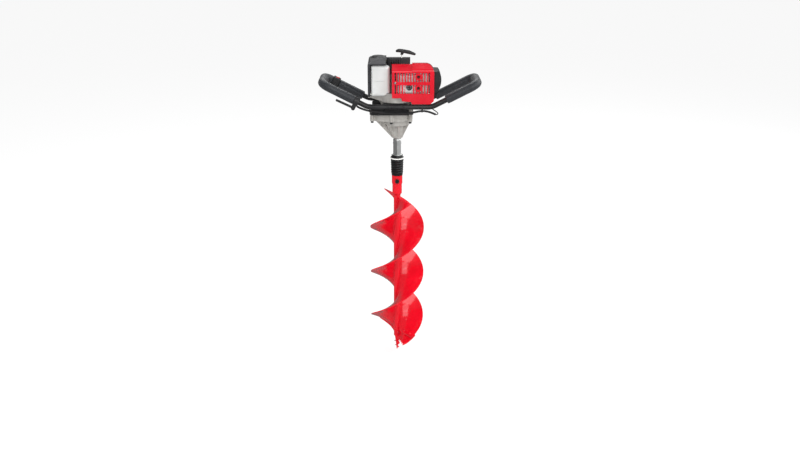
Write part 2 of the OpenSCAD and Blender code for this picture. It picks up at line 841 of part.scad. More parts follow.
module gearbox_bearings() {
    color(steel) {
        translate([0, 0, z_floor - main_bearing_h])
            bearing(main_bearing_d, out_shaft_d + 2 * run_clear, main_bearing_h);
        translate([0, 0, z_low_bush]) ring(low_bush_d, out_shaft_d + 2 * run_clear, low_bush_h);
        translate([idler_x, 0, z_floor - bush_h]) ring(bush_d, idler_journal_d + 2 * run_clear, bush_h);
        translate([idler_x, 0, z_case_top]) ring(bush_d, idler_journal_d + 2 * run_clear, top_bush_h);
        translate([0, 0, z_input_bearing]) bearing(input_bearing_d, input_d + 2 * run_clear, input_bearing_h);
    }
}

module output_seal() {
    color(black) translate([0, 0, z_neck]) ring(seal_d, out_shaft_d + 2 * run_clear, seal_h);
}

// Drum with its shaft and pinion in one piece
module clutch_drum() {
    pinion_low = z_high_gear - 1;
    pinion_top = z_high_gear + high_face + 2;
    color(steel) union() {
        difference() {
            rod_z(drum_d, z_drum, z_drum + drum_h);
            rod_z(drum_d - 2 * drum_wall, z_drum + drum_floor, z_drum + drum_h + cut);
        }
        rod_z(input_d + 6, z_input_bearing + input_bearing_h + 1, z_drum + cut);
        rod_z(input_d, z_plate_top - plate_t, z_drum + cut);
        rod_z(2 * (pinion_r - dedendum), pinion_low, z_plate_top);
        translate([0, 0, pinion_low]) linear_extrude(pinion_top - pinion_low) rotate(180)
            gear_shape(pinion_teeth);
    }
}

// Handle

module handle_bracket() {
    hole_d = input_bearing_d + 10;
    reach = lip_y;
    plate_x0 = bracket_x0 - 6;
    plate_x1 = lobe_r + 2;
    side_y = 50;
    lip_r = 6;
    color(black) difference() {
        union() {
            extrude_z(z_cover_top, z_plate_top) {
                translate([bracket_x0, -reach]) square([bracket_x1 - bracket_x0, 2 * reach]);
                round_rect([plate_x0, -side_y], [plate_x1, side_y], lip_r);
            }
            for (y = [-reach, reach - plate_t]) extrude_y(y, y + plate_t)
                polygon([
                    [bracket_x0, z_cover_top], [bracket_x1, z_cover_top],
                        [bracket_x1, bracket_lip_top - lip_r],
                    [bracket_x1 - lip_r, bracket_lip_top], [bracket_x0 + 44, bracket_lip_top],
                    [bracket_x0, rail_z - rail_d / 2]
                ]);
        }
        rod_z(hole_d, z_cover_top - cut, z_plate_top + cut);
        bolt_holes(z_cover_top - cut, z_plate_top + cut);
        for (x = rail_bolt_x) rod_y(rail_bolt_d + 2 * seat_clear, -rail_w, rail_w, x, rail_z);
    }
}

module bracket_bolts() {
    head_d = 12;
    head_h = 4;
    nut_af = 10;
    nut_h = 5;
    inner = lip_y - plate_t;
    outer = rail_y + rail_d / 2;
    color(charcoal) for (x = rail_bolt_x, side = [0, 1]) mirror([0, side, 0]) {
        rod_y(rail_bolt_d, -outer - cut, -inner + nut_h, x, rail_z);
        intersection() {
            rod_y(head_d, -outer - head_h, -outer - seat_clear, x, rail_z);
            translate([x, -outer + head_d - head_h, rail_z]) sphere(r = head_d);
        }
        translate([x, -inner + seat_clear, rail_z]) rotate([-90, 0, 0])
            cylinder(d = nut_af / cos(30), h = nut_h - 1, $fn = 6);
    }
}

// A bend that starts at the origin along +X and turns towards +Y
module arc(r, angle, d, hole) {
    translate([0, r, 0]) rotate([0, 0, -90]) rotate_extrude(angle = angle) translate([r, 0]) difference() {
        circle(d = d);
        circle(d = hole);
    }
}

module run(length, d, hole) {
    rotate([0, 90, 0]) ring(d, hole, length);
}

// Places children where a bend of the given radius and angle ends, +X ahead
module after_arc(r, angle) {
    translate([r * sin(angle), r * (1 - cos(angle)), 0]) rotate([0, 0, angle]) children();
}

// Places children at the middle of a rail, +X outwards; side is -1 left or 1 right, row -1 front or 1 rear
module at_half(side, row) {
    translate([handle_x, 0, rail_z]) mirror([side < 0 ? 1 : 0, 0, 0]) mirror([0, row > 0 ? 1 : 0, 0])
        translate([0, -rail_y, 0]) children();
}

// Places children at the start of a leg's straight run, +X along the leg
module at_leg(side, row) {
    at_half(side, row) translate([rail_half - bend_run, 0, 0]) rotate([90, 0, 0])
        after_arc(bend_r, leg_angle) rotate([-90, 0, 0]) children();
}

// Corner of a loop and half of its end, from the end of a leg's straight run
module loop_end(d, hole) {
    translate([leg_run, 0, 0]) {
        arc(corner_r, 90, d, hole);
        translate([corner_r, corner_r, 0]) rotate([0, 0, 90]) run(rail_y - corner_r - grip_butt / 2, d, hole);
    }
}

// The same with the leg's last stretch, length long, before the corner
module leg_end(length, d, hole) {
    translate([leg_run, 0, 0]) mirror([1, 0, 0]) run(length, d, hole);
    loop_end(d, hole);
}

// Stations along the right half of a rail, from its middle: [point, sideways, upwards]
bend_steps = 5;
corner_steps = 12;
function leg_point(u, v) = [
    rail_half - bend_run + bend_r * sin(leg_angle) + u * cos(leg_angle), v,
    bend_r * (1 - cos(leg_angle)) + u * sin(leg_angle)
];
function leg_station(u, v, turn) = [
    leg_point(u, v), [-sin(turn) * cos(leg_angle), cos(turn), -sin(turn) * sin(leg_angle)],
    [-sin(leg_angle), 0, cos(leg_angle)]
];
half_stations = concat(
    [[[0, 0, 0], [0, 1, 0], [0, 0, 1]]],
    [for (i = [0 : bend_steps]) let (a = leg_angle * i / bend_steps)
        [[rail_half - bend_run + bend_r * sin(a), 0, bend_r * (1 - cos(a))], [0, 1, 0],
            [-sin(a), 0, cos(a)]]],
    [for (i = [0 : corner_steps]) let (b = 90 * i / corner_steps)
        leg_station(leg_run + corner_r * sin(b), corner_r * (1 - cos(b)), b)],
    [leg_station(leg_run + corner_r, rail_y, 90)]
);
function flip_x(v) = [-v[0], v[1], v[2]];
rail_stations = concat(
    [for (i = [len(half_stations) - 1 : -1 : 1]) [for (v = half_stations[i]) flip_x(v)]],
    half_stations
);
rail_sides = 16;

function rail_rings(d) = [for (q = rail_stations) [for (k = [0 : rail_sides - 1])
    q[0] + d / 2 * (cos(360 * k / rail_sides) * q[1] + sin(360 * k / rail_sides) * q[2])]];

// A hollow tube between outer and inner rings of points
module pipe(outer, inner) {
    n = len(outer);
    m = len(outer[0]);
    half = n * m;
    last = (n - 1) * m;
    polyhedron(concat(flat(outer), flat(inner)), concat(
        [for (i = [0 : n - 2], j = [0 : m - 1]) let (a = i * m + j, b = i * m + (j + 1) % m)
            each [[a, b, b + m], [a, b + m, a + m]]],
        [for (i = [0 : n - 2], j = [0 : m - 1]) let (a = half + i * m + j, b = half + i * m + (j + 1) % m)
            each [[b + m, b, a], [a + m, b + m, a]]],
        [for (j = [0 : m - 1]) let (k = (j + 1) % m) each [[j, j + half, k + half], [j, k + half, k]]],
        [for (j = [0 : m - 1]) let (k = (j + 1) % m)
            each [[last + k + half, last + j + half, last + j], [last + k, last + k + half, last + j]]]
    ));
}

module rail(row) {
    color(black) difference() {
        at_half(1, row) pipe(rail_rings(rail_d), rail_rings(rail_d - 2 * rail_wall));
        for (x = rail_bolt_x) rod_y(rail_bolt_d + 2 * seat_clear, -rail_w, rail_w, x, rail_z);
    }
}

module handle_front_rail() {
    rail(-1);
}

module handle_rear_rail() {
    rail(1);
}

module grip_run(u0, u1) {
    translate([u0, 0, 0]) run(u1 - u0, grip_d, rail_d + 2 * grip_clear);
}

// Two sleeves butt at the middle of the loop's end, and a short one sits on the rear leg
module left_grip() {
    hole = rail_d + 2 * grip_clear;
    color(charcoal) {
        at_leg(-1, -1) leg_end(leg_run - left_grip_u, grip_d, hole);
        at_leg(-1, 1) loop_end(grip_d, hole);
        at_leg(-1, 1) grip_run(left_rear_u, switch_u - free_gap);
    }
}

module right_grip() {
    hole = rail_d + 2 * grip_clear;
    color(charcoal) {
        at_leg(1, -1) leg_end(leg_run - right_grip_u, grip_d, hole);
        at_leg(1, 1) leg_end(leg_run - right_rear_u, grip_d, hole);
    }
}

// Controls

ear_t = 3;
ear_root = 6;
ear_gap = lever_w + 2 * free_gap;

module throttle_clamp() {
    color(black) at_leg(-1, -1) difference() {
        union() {
            grip_run(throttle_u0, throttle_u0 + throttle_len);
            for (y = [-ear_gap / 2 - ear_t, ear_gap / 2]) extrude_y(y, y + ear_t) {
                translate([lever_pin_u, -lever_drop]) circle(d = throttle_len - 4);
                translate([throttle_u0 + 2, -lever_drop]) square([throttle_len - 4, lever_drop - ear_root]);
            }
        }
        rod_y(lever_pin_d + 2 * run_clear, -lever_w, lever_w, lever_pin_u, -lever_drop);
    }
}

// Paddle with its pin; it lies under the grip and closes towards it
module throttle_lever() {
    flare = 2;
    color(black) at_leg(-1, -1) translate([lever_pin_u, 0, -lever_drop]) {
        extrude_y(-lever_w / 2, lever_w / 2) {
            circle(d = lever_t + 5);
            polygon([[0, -lever_t / 2], [lever_len, -lever_t / 2 - flare],
                [lever_len, lever_t / 2 - flare], [0, lever_t / 2]]);
            translate([lever_len, -flare]) circle(d = lever_t);
        }
        rod_y(lever_pin_d, -ear_gap / 2 - ear_t, ear_gap / 2 + ear_t, 0, 0);
    }
}

switch_h = 34;
switch_y = 32;
rocker_len = 15;
rocker_w = 10;
rocker_z = 12;

module switch_box() {
    color(black) at_leg(-1, 1) difference() {
        round_block([switch_u, -switch_y / 2, -switch_h / 2],
            [switch_u + switch_len - 0.3, switch_y / 2, switch_h / 2], 4);
        rod_x(rail_d + 2 * grip_clear, switch_u - cut, switch_u + switch_len + cut, 0, 0);
        translate([switch_u + switch_len / 2, 0, rocker_z])
            box([-rocker_len / 2 - free_gap, -rocker_w / 2 - free_gap, -1],
                [rocker_len / 2 + free_gap, rocker_w / 2 + free_gap, switch_h]);
        rod_y(2 + 2 * run_clear, -rocker_w, rocker_w, switch_u + switch_len / 2, switch_h / 2 - 2.5);
    }
}

module switch_rocker() {
    color(red) at_leg(-1, 1) translate([switch_u + switch_len / 2, 0, switch_h / 2 - 2.5]) {
        extrude_y(-rocker_w / 2, rocker_w / 2)
            polygon([
                [-rocker_len / 2 + 0.6, -1], [rocker_len / 2 - 0.6, -1], [rocker_len / 2 - 0.3, 3.2],
                    [1.5, 3.6], [-rocker_len / 2 + 0.9, 6]
            ]);
        rod_y(2, -rocker_w, rocker_w, 0, 0);
    }
}

function over_rail(p) = [p[0], p[1], rail_z + p[2]];

module control_cable() {
    color(black) {
        ring_tube(tube_rings([for (p = smooth(loom_route, 2)) over_rail(p)], loom_d, 10));
        ring_tube(tube_rings([for (p = smooth(strand_route, 2)) over_rail(p)], strand_d, 8));
    }
}

// Clutch, crankshaft and engine

module crankshaft() {
    web_d = 26;
    color(steel) union() {
        rod_z(crank_d, z_hub_plate + hub_plate_h, z_recoil + 8);
        rod_z(hub_bore_d, z_shoe - 1, z_hub_plate + hub_plate_h + cut);
        rod_z(web_d, z_hub_plate + hub_plate_h + seat_clear, z_flywheel - seat_clear);
        difference() {
            rod_z(2 * cup_start_r, z_recoil + 6, z_recoil + 22);
            rod_z(2 * cup_start_r - 6, z_recoil + 9, z_recoil + 22 + cut);
            for (a = [0 : 90 : 270]) rotate([0, 0, a]) rod_x(8, 0, cup_start_r + cut, 0, z_recoil + 17);
        }
    }
}

module flywheel() {
    blades = 14;
    disc_h = 6;
    blade_thick = 3;
    color(alloy) difference() {
        union() {
            rod_z(2 * flywheel_r, z_flywheel + flywheel_h - disc_h, z_flywheel + flywheel_h);
            rod_z(crank_d + 24, z_flywheel, z_flywheel + flywheel_h);
            for (k = [0 : blades - 1]) rotate([0, 0, 360 * k / blades])
                box([crank_r + 16, -blade_thick / 2, z_flywheel],
                    [flywheel_r - 2, blade_thick / 2, z_flywheel + flywheel_h - disc_h + cut]);
        }
        rod_z(crank_d + 2 * seat_clear, z_flywheel - cut, z_flywheel + flywheel_h + cut);
    }
}

module clutch_hub() {
    arm_w = 18;
    color(steel) difference() {
        union() {
            rod_z(hub_d, z_shoe, z_hub_plate + hub_plate_h);
            extrude_z(z_hub_plate, z_hub_plate + hub_plate_h) {
                translate([-shoe_pin_r, -arm_w / 2]) square([2 * shoe_pin_r, arm_w]);
                for (x = [-shoe_pin_r, shoe_pin_r]) translate([x, 0]) circle(d = arm_w);
            }
            for (x = [-shoe_pin_r, shoe_pin_r]) rod_z(shoe_pin_d, z_shoe, z_hub_plate + cut, x);
        }
        rod_z(hub_bore_d + 2 * seat_clear, z_shoe - cut, z_hub_plate + hub_plate_h + cut);
    }
}

// Crescent that swings out about its pin
module clutch_shoe() {
    inner_r = hub_d / 2 + 2;
    heel = -22;
    toe = 150;
    far = 2 * drum_d;
    difference() {
        extrude_z(z_shoe, z_shoe + shoe_h) difference() {
            intersection() {
                circle(r = shoe_r);
                polygon([[0, 0], far * [cos(heel), sin(heel)], far * [cos(30), sin(30)],
                    far * [cos(90), sin(90)], far * [cos(toe), sin(toe)]]);
            }
            circle(r = inner_r);
        }
        rod_z(shoe_pin_d + 2 * run_clear, z_shoe - cut, z_shoe + shoe_h + cut, shoe_pin_r);
    }
}

module clutch_shoe_a() {
    color(charcoal) clutch_shoe();
}

module clutch_shoe_b() {
    color(charcoal) rotate([0, 0, 180]) clutch_shoe();
}

// Room between the bracket's two lips
module lip_room() {
    square([4 * lobe_r, 2 * (lip_y - plate_t - free_gap)], center = true);
}

// Clutch housing with the fan housing and the tank's cradle cast on
module clutch_housing() {
    flange_t = 8;
    wall = 4;
    fan_r = fan_d / 2;
    web_t = 6;
    cradle_y = 46;
    cradle_t = 7;
    cradle_top = tank_lo[2] - seat_clear;
    guard_x = tank_lo[0] - guard_gap - guard_t;
    color(alloy) difference() {
        union() {
            extrude_z(z_plate_top, z_plate_top + flange_t) intersection() {
                gearbox_flange();
                lip_room();
            }
            extrude_z(z_plate_top, z_fan + cut) intersection() {
                circle(r = clutch_wall_r);
                lip_room();
            }
            rod_z(fan_d, z_fan, z_crankcase);
            for (a = [-35, 0, 35, 145, 180, 215]) rotate([0, 0, a]) extrude_y(-web_t / 2, web_t / 2)
                polygon([[0, z_plate_top], [clutch_wall_r, z_plate_top + flange_t], [fan_r - 2, z_fan],
                    [0, z_fan]]);
            for (y = [-cradle_y, cradle_y - 14]) {
                box([guard_x, y, cradle_top - cradle_t], [-48, y + 14, cradle_top]);
                extrude_y(y + 4, y + 4 + web_t)
                    polygon([[guard_x + 6, cradle_top - cradle_t], [-clutch_wall_r - 4, z_fan + 1],
                        [-48, z_fan + 1], [-48, cradle_top - cradle_t]]);
            }
        }
        rod_z(fan_d - 2 * wall, z_fan + 3, z_crankcase + cut);
        rod_z(drum_d + 8, z_input_bearing + input_bearing_h + 0.5, z_fan + 3 + cut);
        rod_z(input_bearing_d + 2 * seat_clear, z_input_bearing, z_drum);
        rod_z(input_bearing_d - 8, z_plate_top - cut, z_drum);
        bolt_holes(z_plate_top - cut, z_plate_top + flange_t - 1 + seat_clear);
    }
}

module crankcase() {
    tunnel_d = crank_d + 2 * run_clear;
    post_low = -cover_lo[1] - skin;
    color(alloy) difference() {
        union() {
            rod_z(fan_d, z_crankcase, z_crankcase + case_plate_t);
            rod_z(2 * case_r, z_crankcase, z_recoil);
            box([0, -case_r + 4, z_crankcase], [cyl_x0, case_r - 4, z_recoil - 2]);
            rod_y(screw_post_d, -post_low + seat_clear, 0, cover_screw[0], cover_screw[1]);
            for (a = [45, 135, 225, 315]) rotate([0, 0, a]) rod_z(12, z_crankcase, z_recoil, case_r - 2);
        }
        rod_z(tunnel_d, z_crankcase - cut, z_recoil + cut);
        rod_y(screw_d + 2 * seat_clear, -post_low - cut, -post_low + 16, cover_screw[0], cover_screw[1]);
    }
}

module engine_cylinder() {
    barrel_d = 56;
    flange_t = 5;
    fin_pitch = (cyl_x1 - cyl_x0 - flange_t - 6) / (fin_count - 1);
    plug_d = 14;
    stud_pad = 34;
    color(alloy) difference() {
        union() {
            rod_x(barrel_d, cyl_x0, cyl_x1 - 6, 0, cyl_z);
            extrude_x(cyl_x0, cyl_x0 + flange_t) round_rect([-fin_y + 6, cyl_z - fin_z + 6],
                [fin_y - 6, cyl_z + fin_z - 6], 5);
            for (k = [0 : fin_count - 1]) let (x = cyl_x0 + flange_t + 3 + fin_pitch * k)
                extrude_x(x, x + fin_t) round_rect([-fin_y, cyl_z - fin_z], [fin_y, cyl_z + fin_z], 9);
            rod_x(26, cyl_x1 - 10, cyl_x1, 0, cyl_z);
            box([port_x - stud_pad / 2, -fin_y - 0.5, cyl_z - 14],
                [port_x + stud_pad / 2, fin_y + 0.5, cyl_z + 14]);
        }
        rod_x(plug_d + 2 * seat_clear, cyl_x1 - 22, cyl_x1 + cut, 0, cyl_z);
    }
}

module spark_plug() {
    hex_af = 19;
    cap_h1 = 16;
    color(clear_white) union() {
        rod_x(14, cyl_x1 - 20, cyl_x1 + cut, 0, cyl_z);
        translate([cyl_x1 + seat_clear, 0, cyl_z]) rotate([0, 90, 0])
            cylinder(d = hex_af / cos(30), h = 8, $fn = 6);
        rod_x(11, cyl_x1 + 7, cyl_x1 + 22, 0, cyl_z);
        rod_x(18, cyl_x1 + 20, cyl_x1 + 20 + cap_h1, 0, cyl_z);
        rod_z(13, cyl_z - 14, cyl_z, cyl_x1 + 28);
    }
}

module muffler() {
    seam = 3;
    mid_y = (muffler_lo[1] + muffler_hi[1]) / 2;
    outlet = [42, cyl_z - 4];
    grow = [2.5, 0, 2.5];
    color(steel) union() {
        round_block(muffler_lo, muffler_hi, 9);
        extrude_y(mid_y - seam / 2, mid_y + seam / 2) round_rect(
            [muffler_lo[0] - grow[0], muffler_lo[2] - grow[2]],
                [muffler_hi[0] + grow[0], muffler_hi[2] + grow[2]], 10);
        box([port_x - 16, muffler_hi[1] - cut, cyl_z - 13],
            [port_x + 16, -fin_y - 0.5 - seat_clear, cyl_z + 13]);
        difference() {
            rod_y(20, muffler_lo[1] - 4, muffler_lo[1] + cut, outlet[0], outlet[1]);
            rod_y(14, muffler_lo[1] - 4 - cut, muffler_lo[1], outlet[0], outlet[1]);
        }
        translate([outlet[0], muffler_lo[1] - 3, outlet[1]]) rotate([-90, 0, 0])
            cylinder(d = 10, h = 4, $fn = 6);
    }
}

// Side outline of the red cover at an inset from its outer skin, as [y, z]
module cover_side(inset, back, top) {
    front = cover_lo[1] + inset;
    low = cover_lo[2] - inset;
    bevel = 12;
    fold_z = top - inset - cover_fold;
    slope = atan2(cover_fold, cover_fold_run);
    tangent = cover_fold_r * tan((90 - slope) / 2);
    polygon([
        [front + bevel, low], [back, low], [back, top - inset], [front + cover_fold_run, top - inset],
        [front, fold_z] + tangent * [cos(slope), sin(slope)], [front, fold_z - tangent], [front, low + 38]
    ]);
    translate([front + cover_fold_r, fold_z - tangent]) circle(r = cover_fold_r);
}

// Front outline of the red cover at an inset, as [x, z]
module cover_front(inset, top) {
    r = 28 - inset;
    low_r = 12;
    x1 = cover_hi[0] - inset;
    low = cover_lo[2] - inset;
    left_low = z_crankcase - 6 - inset;
    polygon([
        [cover_lo[0] + inset, left_low], [14, left_low], [18, z_crankcase - 18 - inset],
            [hood_x - 3, z_crankcase - 20 - inset],
        [hood_x, low], [x1 - low_r, low], [x1, low + low_r], [x1, top - inset - r], [x1 - r, top - inset],
            [cover_lo[0] + inset, top - inset]
    ]);
    translate([x1 - r, top - inset - r]) circle(r = r);
}

module cover_body(inset, back, top) {
    intersection() {
        extrude_y(cover_lo[1] - cut, back) cover_front(inset, top);
        extrude_x(cover_lo[0] - cut, cover_hi[0] + cut) cover_side(inset, back, top);
    }
}

module engine_cover() {
    slot_w = 5.2;
    slot_x0 = -6;
    slot_pitch = 117 / (slot_count - 1);
    rows = [[z_crankcase + 52, z_crankcase + 84], [z_crankcase + 11, z_crankcase + 42]];
    window = [[28, z_crankcase + 12], [54, z_crankcase + 40]];
    boss_d = 24;
    hole_d = 11;
    front = cover_lo[1];
    top = cover_hi[2];
    back = cover_hi[1];
    seat = muffler_lo[1] - seat_clear;
    color(red) difference() {
        union() {
            difference() {
                union() {
                    cover_body(0, back, top);
                    intersection() {
                        cover_body(0, hood_back, top + hood_rise);
                        box([hood_x, front - cut, dome_top + free_gap + 1],
                            [cover_hi[0] + cut, hood_back, top + 2 * hood_rise]);
                    }
                }
                cover_body(skin, back + cut, top);
                intersection() {
                    cover_body(skin, hood_back + cut, top + hood_rise);
                    box([hood_x + skin, front, cover_lo[2]],
                        [cover_hi[0] + cut, hood_back + cut, top + 2 * hood_rise]);
                }
                for (row = rows, k = [0 : slot_count - 1])
                    extrude_y(front - cut, front + skin + cut)
                        round_rect([slot_x0 + slot_pitch * k - slot_w / 2, row[0]],
                            [slot_x0 + slot_pitch * k + slot_w / 2, row[1]], 1.5);
                extrude_y(front - cut, front + skin + cut) round_rect(window[0], window[1], 2);
            }
            for (p = cover_boss) rod_y(boss_d, front - 1, front + skin, p[0], p[1]);
            for (p = cover_boss) rod_y(hole_d + 5, front, seat, p[0], p[1]);
            rod_y(screw_post_d + 4, front, front + skin, cover_screw[0], cover_screw[1]);
        }
        rod_z(fan_d + 3, z_fan - fan_h, z_crankcase + case_plate_t + 1.5);
        for (p = cover_boss) rod_y(hole_d, front - 2 - cut, seat - 2, p[0], p[1]);
        for (p = cover_boss) rod_y(screw_d + 2 * seat_clear, front, seat + cut, p[0], p[1]);
        rod_y(screw_d + 2 * seat_clear, front - cut, front + skin + cut, cover_screw[0], cover_screw[1]);
    }
}

module cover_screws() {
    head_d = 8;
    head_h = 3;
    front = cover_lo[1];
    seat = muffler_lo[1] - seat_clear;
    color(zinc) {
        rod_y(screw_d, front - cut, front + skin + 14, cover_screw[0], cover_screw[1]);
        rod_y(head_d, front - head_h, front - seat_clear, cover_screw[0], cover_screw[1]);
    }
    color(black) for (p = cover_boss) {
        rod_y(screw_d, seat - 3, seat - seat_clear, p[0], p[1]);
        rod_y(head_d, seat - 2 - head_h, seat - 2 - seat_clear, p[0], p[1]);
    }
}

// Domed cover over the plug end of the cylinder
module dome_shape(inset) {
    intersection() {
        extrude_y(-dome_y + inset, dome_y - inset) intersection() {
            translate(dome_c) circle(r = dome_r - inset);
            translate([dome_c[0], dome_c[1] - dome_r])
                square([2 * dome_r, dome_top - inset - dome_c[1] + dome_r]);
        }
        extrude_z(z_fan, z_recoil_top) round_rect([0, -dome_y + inset],
            [dome_c[0] + dome_r, dome_y - inset], 24 - inset);
    }
}

module head_cover() {
    boss_z = [cyl_z - 26, cyl_z + 26];
    mouth = cyl_x1 + 3;
    color(black) union() {
        difference() {
            dome_shape(0);
            dome_shape(skin);
            box([0, -2 * dome_y, z_fan], [mouth, 2 * dome_y, z_recoil_top]);
        }
        for (z = boss_z, y = [-24, 24]) intersection() {
            rod_x(9, fin_end + seat_clear, dome_c[0] + dome_r, y, z);
            dome_shape(skin / 2);
        }
    }
}

module carburettor() {
    bore_d = 15;
    color(alloy) difference() {
        union() {
            box([port_x - 15, fin_y + 0.5 + seat_clear, cyl_z - 13], [port_x + 15, carb_y, cyl_z + 13]);
            round_block([port_x - 18, carb_y - 1, cyl_z - 19],
                [port_x + 18, filter_y - seat_clear, cyl_z + 17], 4);
            rod_y(30, carb_y, filter_y - seat_clear, port_x, cyl_z);
            box([port_x + 6, carb_y + 2, cyl_z + 17], [port_x + 18, carb_y + 10, cyl_z + 25]);
        }
        rod_y(bore_d, fin_y, filter_y + cut, port_x, cyl_z);
        rod_z(throttle_shaft_d + 2 * run_clear, cyl_z, cyl_z + 30, port_x, carb_y + 22);
    }
}

module carb_throttle() {
    arm = 18;
    z = cyl_z + 17 + free_gap;
    color(zinc) translate([port_x, carb_y + 22, 0]) {
        rod_z(throttle_shaft_d, cyl_z + 1, z + 6);
        extrude_z(z, z + 3) {
            circle(d = 14);
            rotate(200) translate([0, -4]) square([arm, 8]);
            rotate(200) translate([arm, 0]) circle(d = 8);
        }
    }
}

module air_filter_box() {
    plate = 4;
    depth = filter_hi[1] - filter_lo[1];
    ribs = 4;
    grow = [3, 0, 3];
    color(black) difference() {
        union() {
            round_block(filter_lo - [0, 10, 0], filter_hi, 10);
            extrude_y(filter_lo[1] + 9, filter_lo[1] + 9 + plate) round_rect(
                [filter_lo[0] - grow[0], filter_lo[2] - grow[2]],
                    [filter_hi[0] + grow[0], filter_hi[2] + grow[2]], 11);
            for (k = [1 : ribs]) let (z = filter_lo[2] + (filter_hi[2] - filter_lo[2]) * k / (ribs + 1))
                extrude_y(filter_hi[1] - 4, filter_hi[1] + 2)
                    round_rect([filter_lo[0] + 14, z - 2], [filter_hi[0] - 14, z + 2], 1.5);
        }
        box(filter_lo - [20, 30, 20], [filter_hi[0] + 20, filter_lo[1], filter_hi[2] + 20]);
        rod_y(16, filter_lo[1] - cut, filter_lo[1] + depth / 2, port_x, cyl_z);
        rod_y(5 + 2 * run_clear, filter_lo[1] - cut, filter_lo[1] + 8, choke_pivot[0], choke_pivot[1]);
        rod_x(primer_d - 6, filter_hi[0] - 12, filter_hi[0] + 4, filter_lo[1] + 22, filter_lo[2] + 20);
    }
}

module choke_lever() {
    y = filter_y - free_gap;
    color(black) {
        extrude_y(y - 3, y) {
            translate(choke_pivot) circle(d = 12);
            translate(choke_pivot) rotate(160) translate([0, -4]) square([26, 8]);
            translate(choke_pivot) rotate(160) translate([26, 0]) circle(d = 8);
        }
        rod_y(5, y - 1, filter_y + 7, choke_pivot[0], choke_pivot[1]);
    }
}

module primer_bulb() {
    x = filter_hi[0];
    color(clear_white) translate([x, filter_lo[1] + 22, filter_lo[2] + 20]) rotate([0, 90, 0]) union() {
        translate([0, 0, 6]) intersection() {
            sphere(d = primer_d);
            cylinder(d = primer_d, h = primer_d);
        }
        translate([0, 0, -5]) cylinder(d = primer_d - 6 - 2 * free_gap, h = 12);
    }
}

module fuel_tank() {
    neck_top = tank_hi[2] + 4;
    color(clear_white) difference() {
        union() {
            round_block(tank_lo, tank_hi, tank_r);
            rod_z(tank_neck_d, tank_hi[2] - cut, neck_top, tank_neck[0], tank_neck[1]);
        }
        box([tank_hi[0] - 22, -recoil_half - 7, tank_lo[2] - cut],
            [tank_hi[0] + cut, recoil_half + 7, tank_hi[2] + cut]);
        rod_z(fan_d + 4, tank_lo[2] - cut, z_crankcase + case_plate_t + 2);
        extrude_z(tank_lo[2] - cut, tank_hi[2] + cut) circle(r = saddle_r);
    }
}

module fuel_cap() {
    grips = 20;
    low = tank_hi[2] + 4 + free_gap;
    color(black) translate([tank_neck[0], tank_neck[1], low]) difference() {
        cylinder(d = cap_d, h = cap_h);
        for (k = [0 : grips - 1]) rotate([0, 0, 360 * k / grips]) translate([cap_d / 2 + 1, 0, -cut])
            cylinder(d = 4, h = cap_h + 2 * cut);
    }
}

// Shield over the tank's left side and top
module tank_guard() {
    x0 = tank_lo[0] - guard_gap - guard_t;
    x1 = recoil_x - recoil_half - 1;
    in_x = tank_lo[0] - guard_gap;
    in_z = tank_hi[2] + guard_gap;
    low = tank_lo[2];
    y0 = tank_lo[1] - 3;
    y1 = tank_hi[1] + 3;
    left_top = in_z + 8;
    right_top = z_recoil_top;
    round_r = 12;
    color(charcoal) difference() {
        intersection() {
            extrude_y(y0, y1) {
                polygon([
                    [x0, low], [in_x, low], [in_x, in_z], [x1, in_z], [x1, right_top], [x1 - 8, right_top],
                    [x0 + round_r, left_top + 2], [x0, left_top - round_r + 2]
                ]);
                translate([x0 + round_r, left_top - round_r + 2]) circle(r = round_r);
            }
            extrude_x(x0 - cut, x1 + cut) polygon([
                [y0, low], [y1, low], [y1, left_top + 4], [y0 + 60, right_top + cut],
                    [y0 + 40, right_top + cut], [y0, left_top - 4]
            ]);
        }
        rod_z(cap_d + 10, in_z - cut, right_top + cut, tank_neck[0], tank_neck[1]);
        box([in_x, y0 - cut, low - cut], [x1 + cut, y1 + cut, in_z]);
        box([in_x, -saddle_r, in_z - cut], [x1 + cut, y1 + cut, in_z + 6]);
    }
}

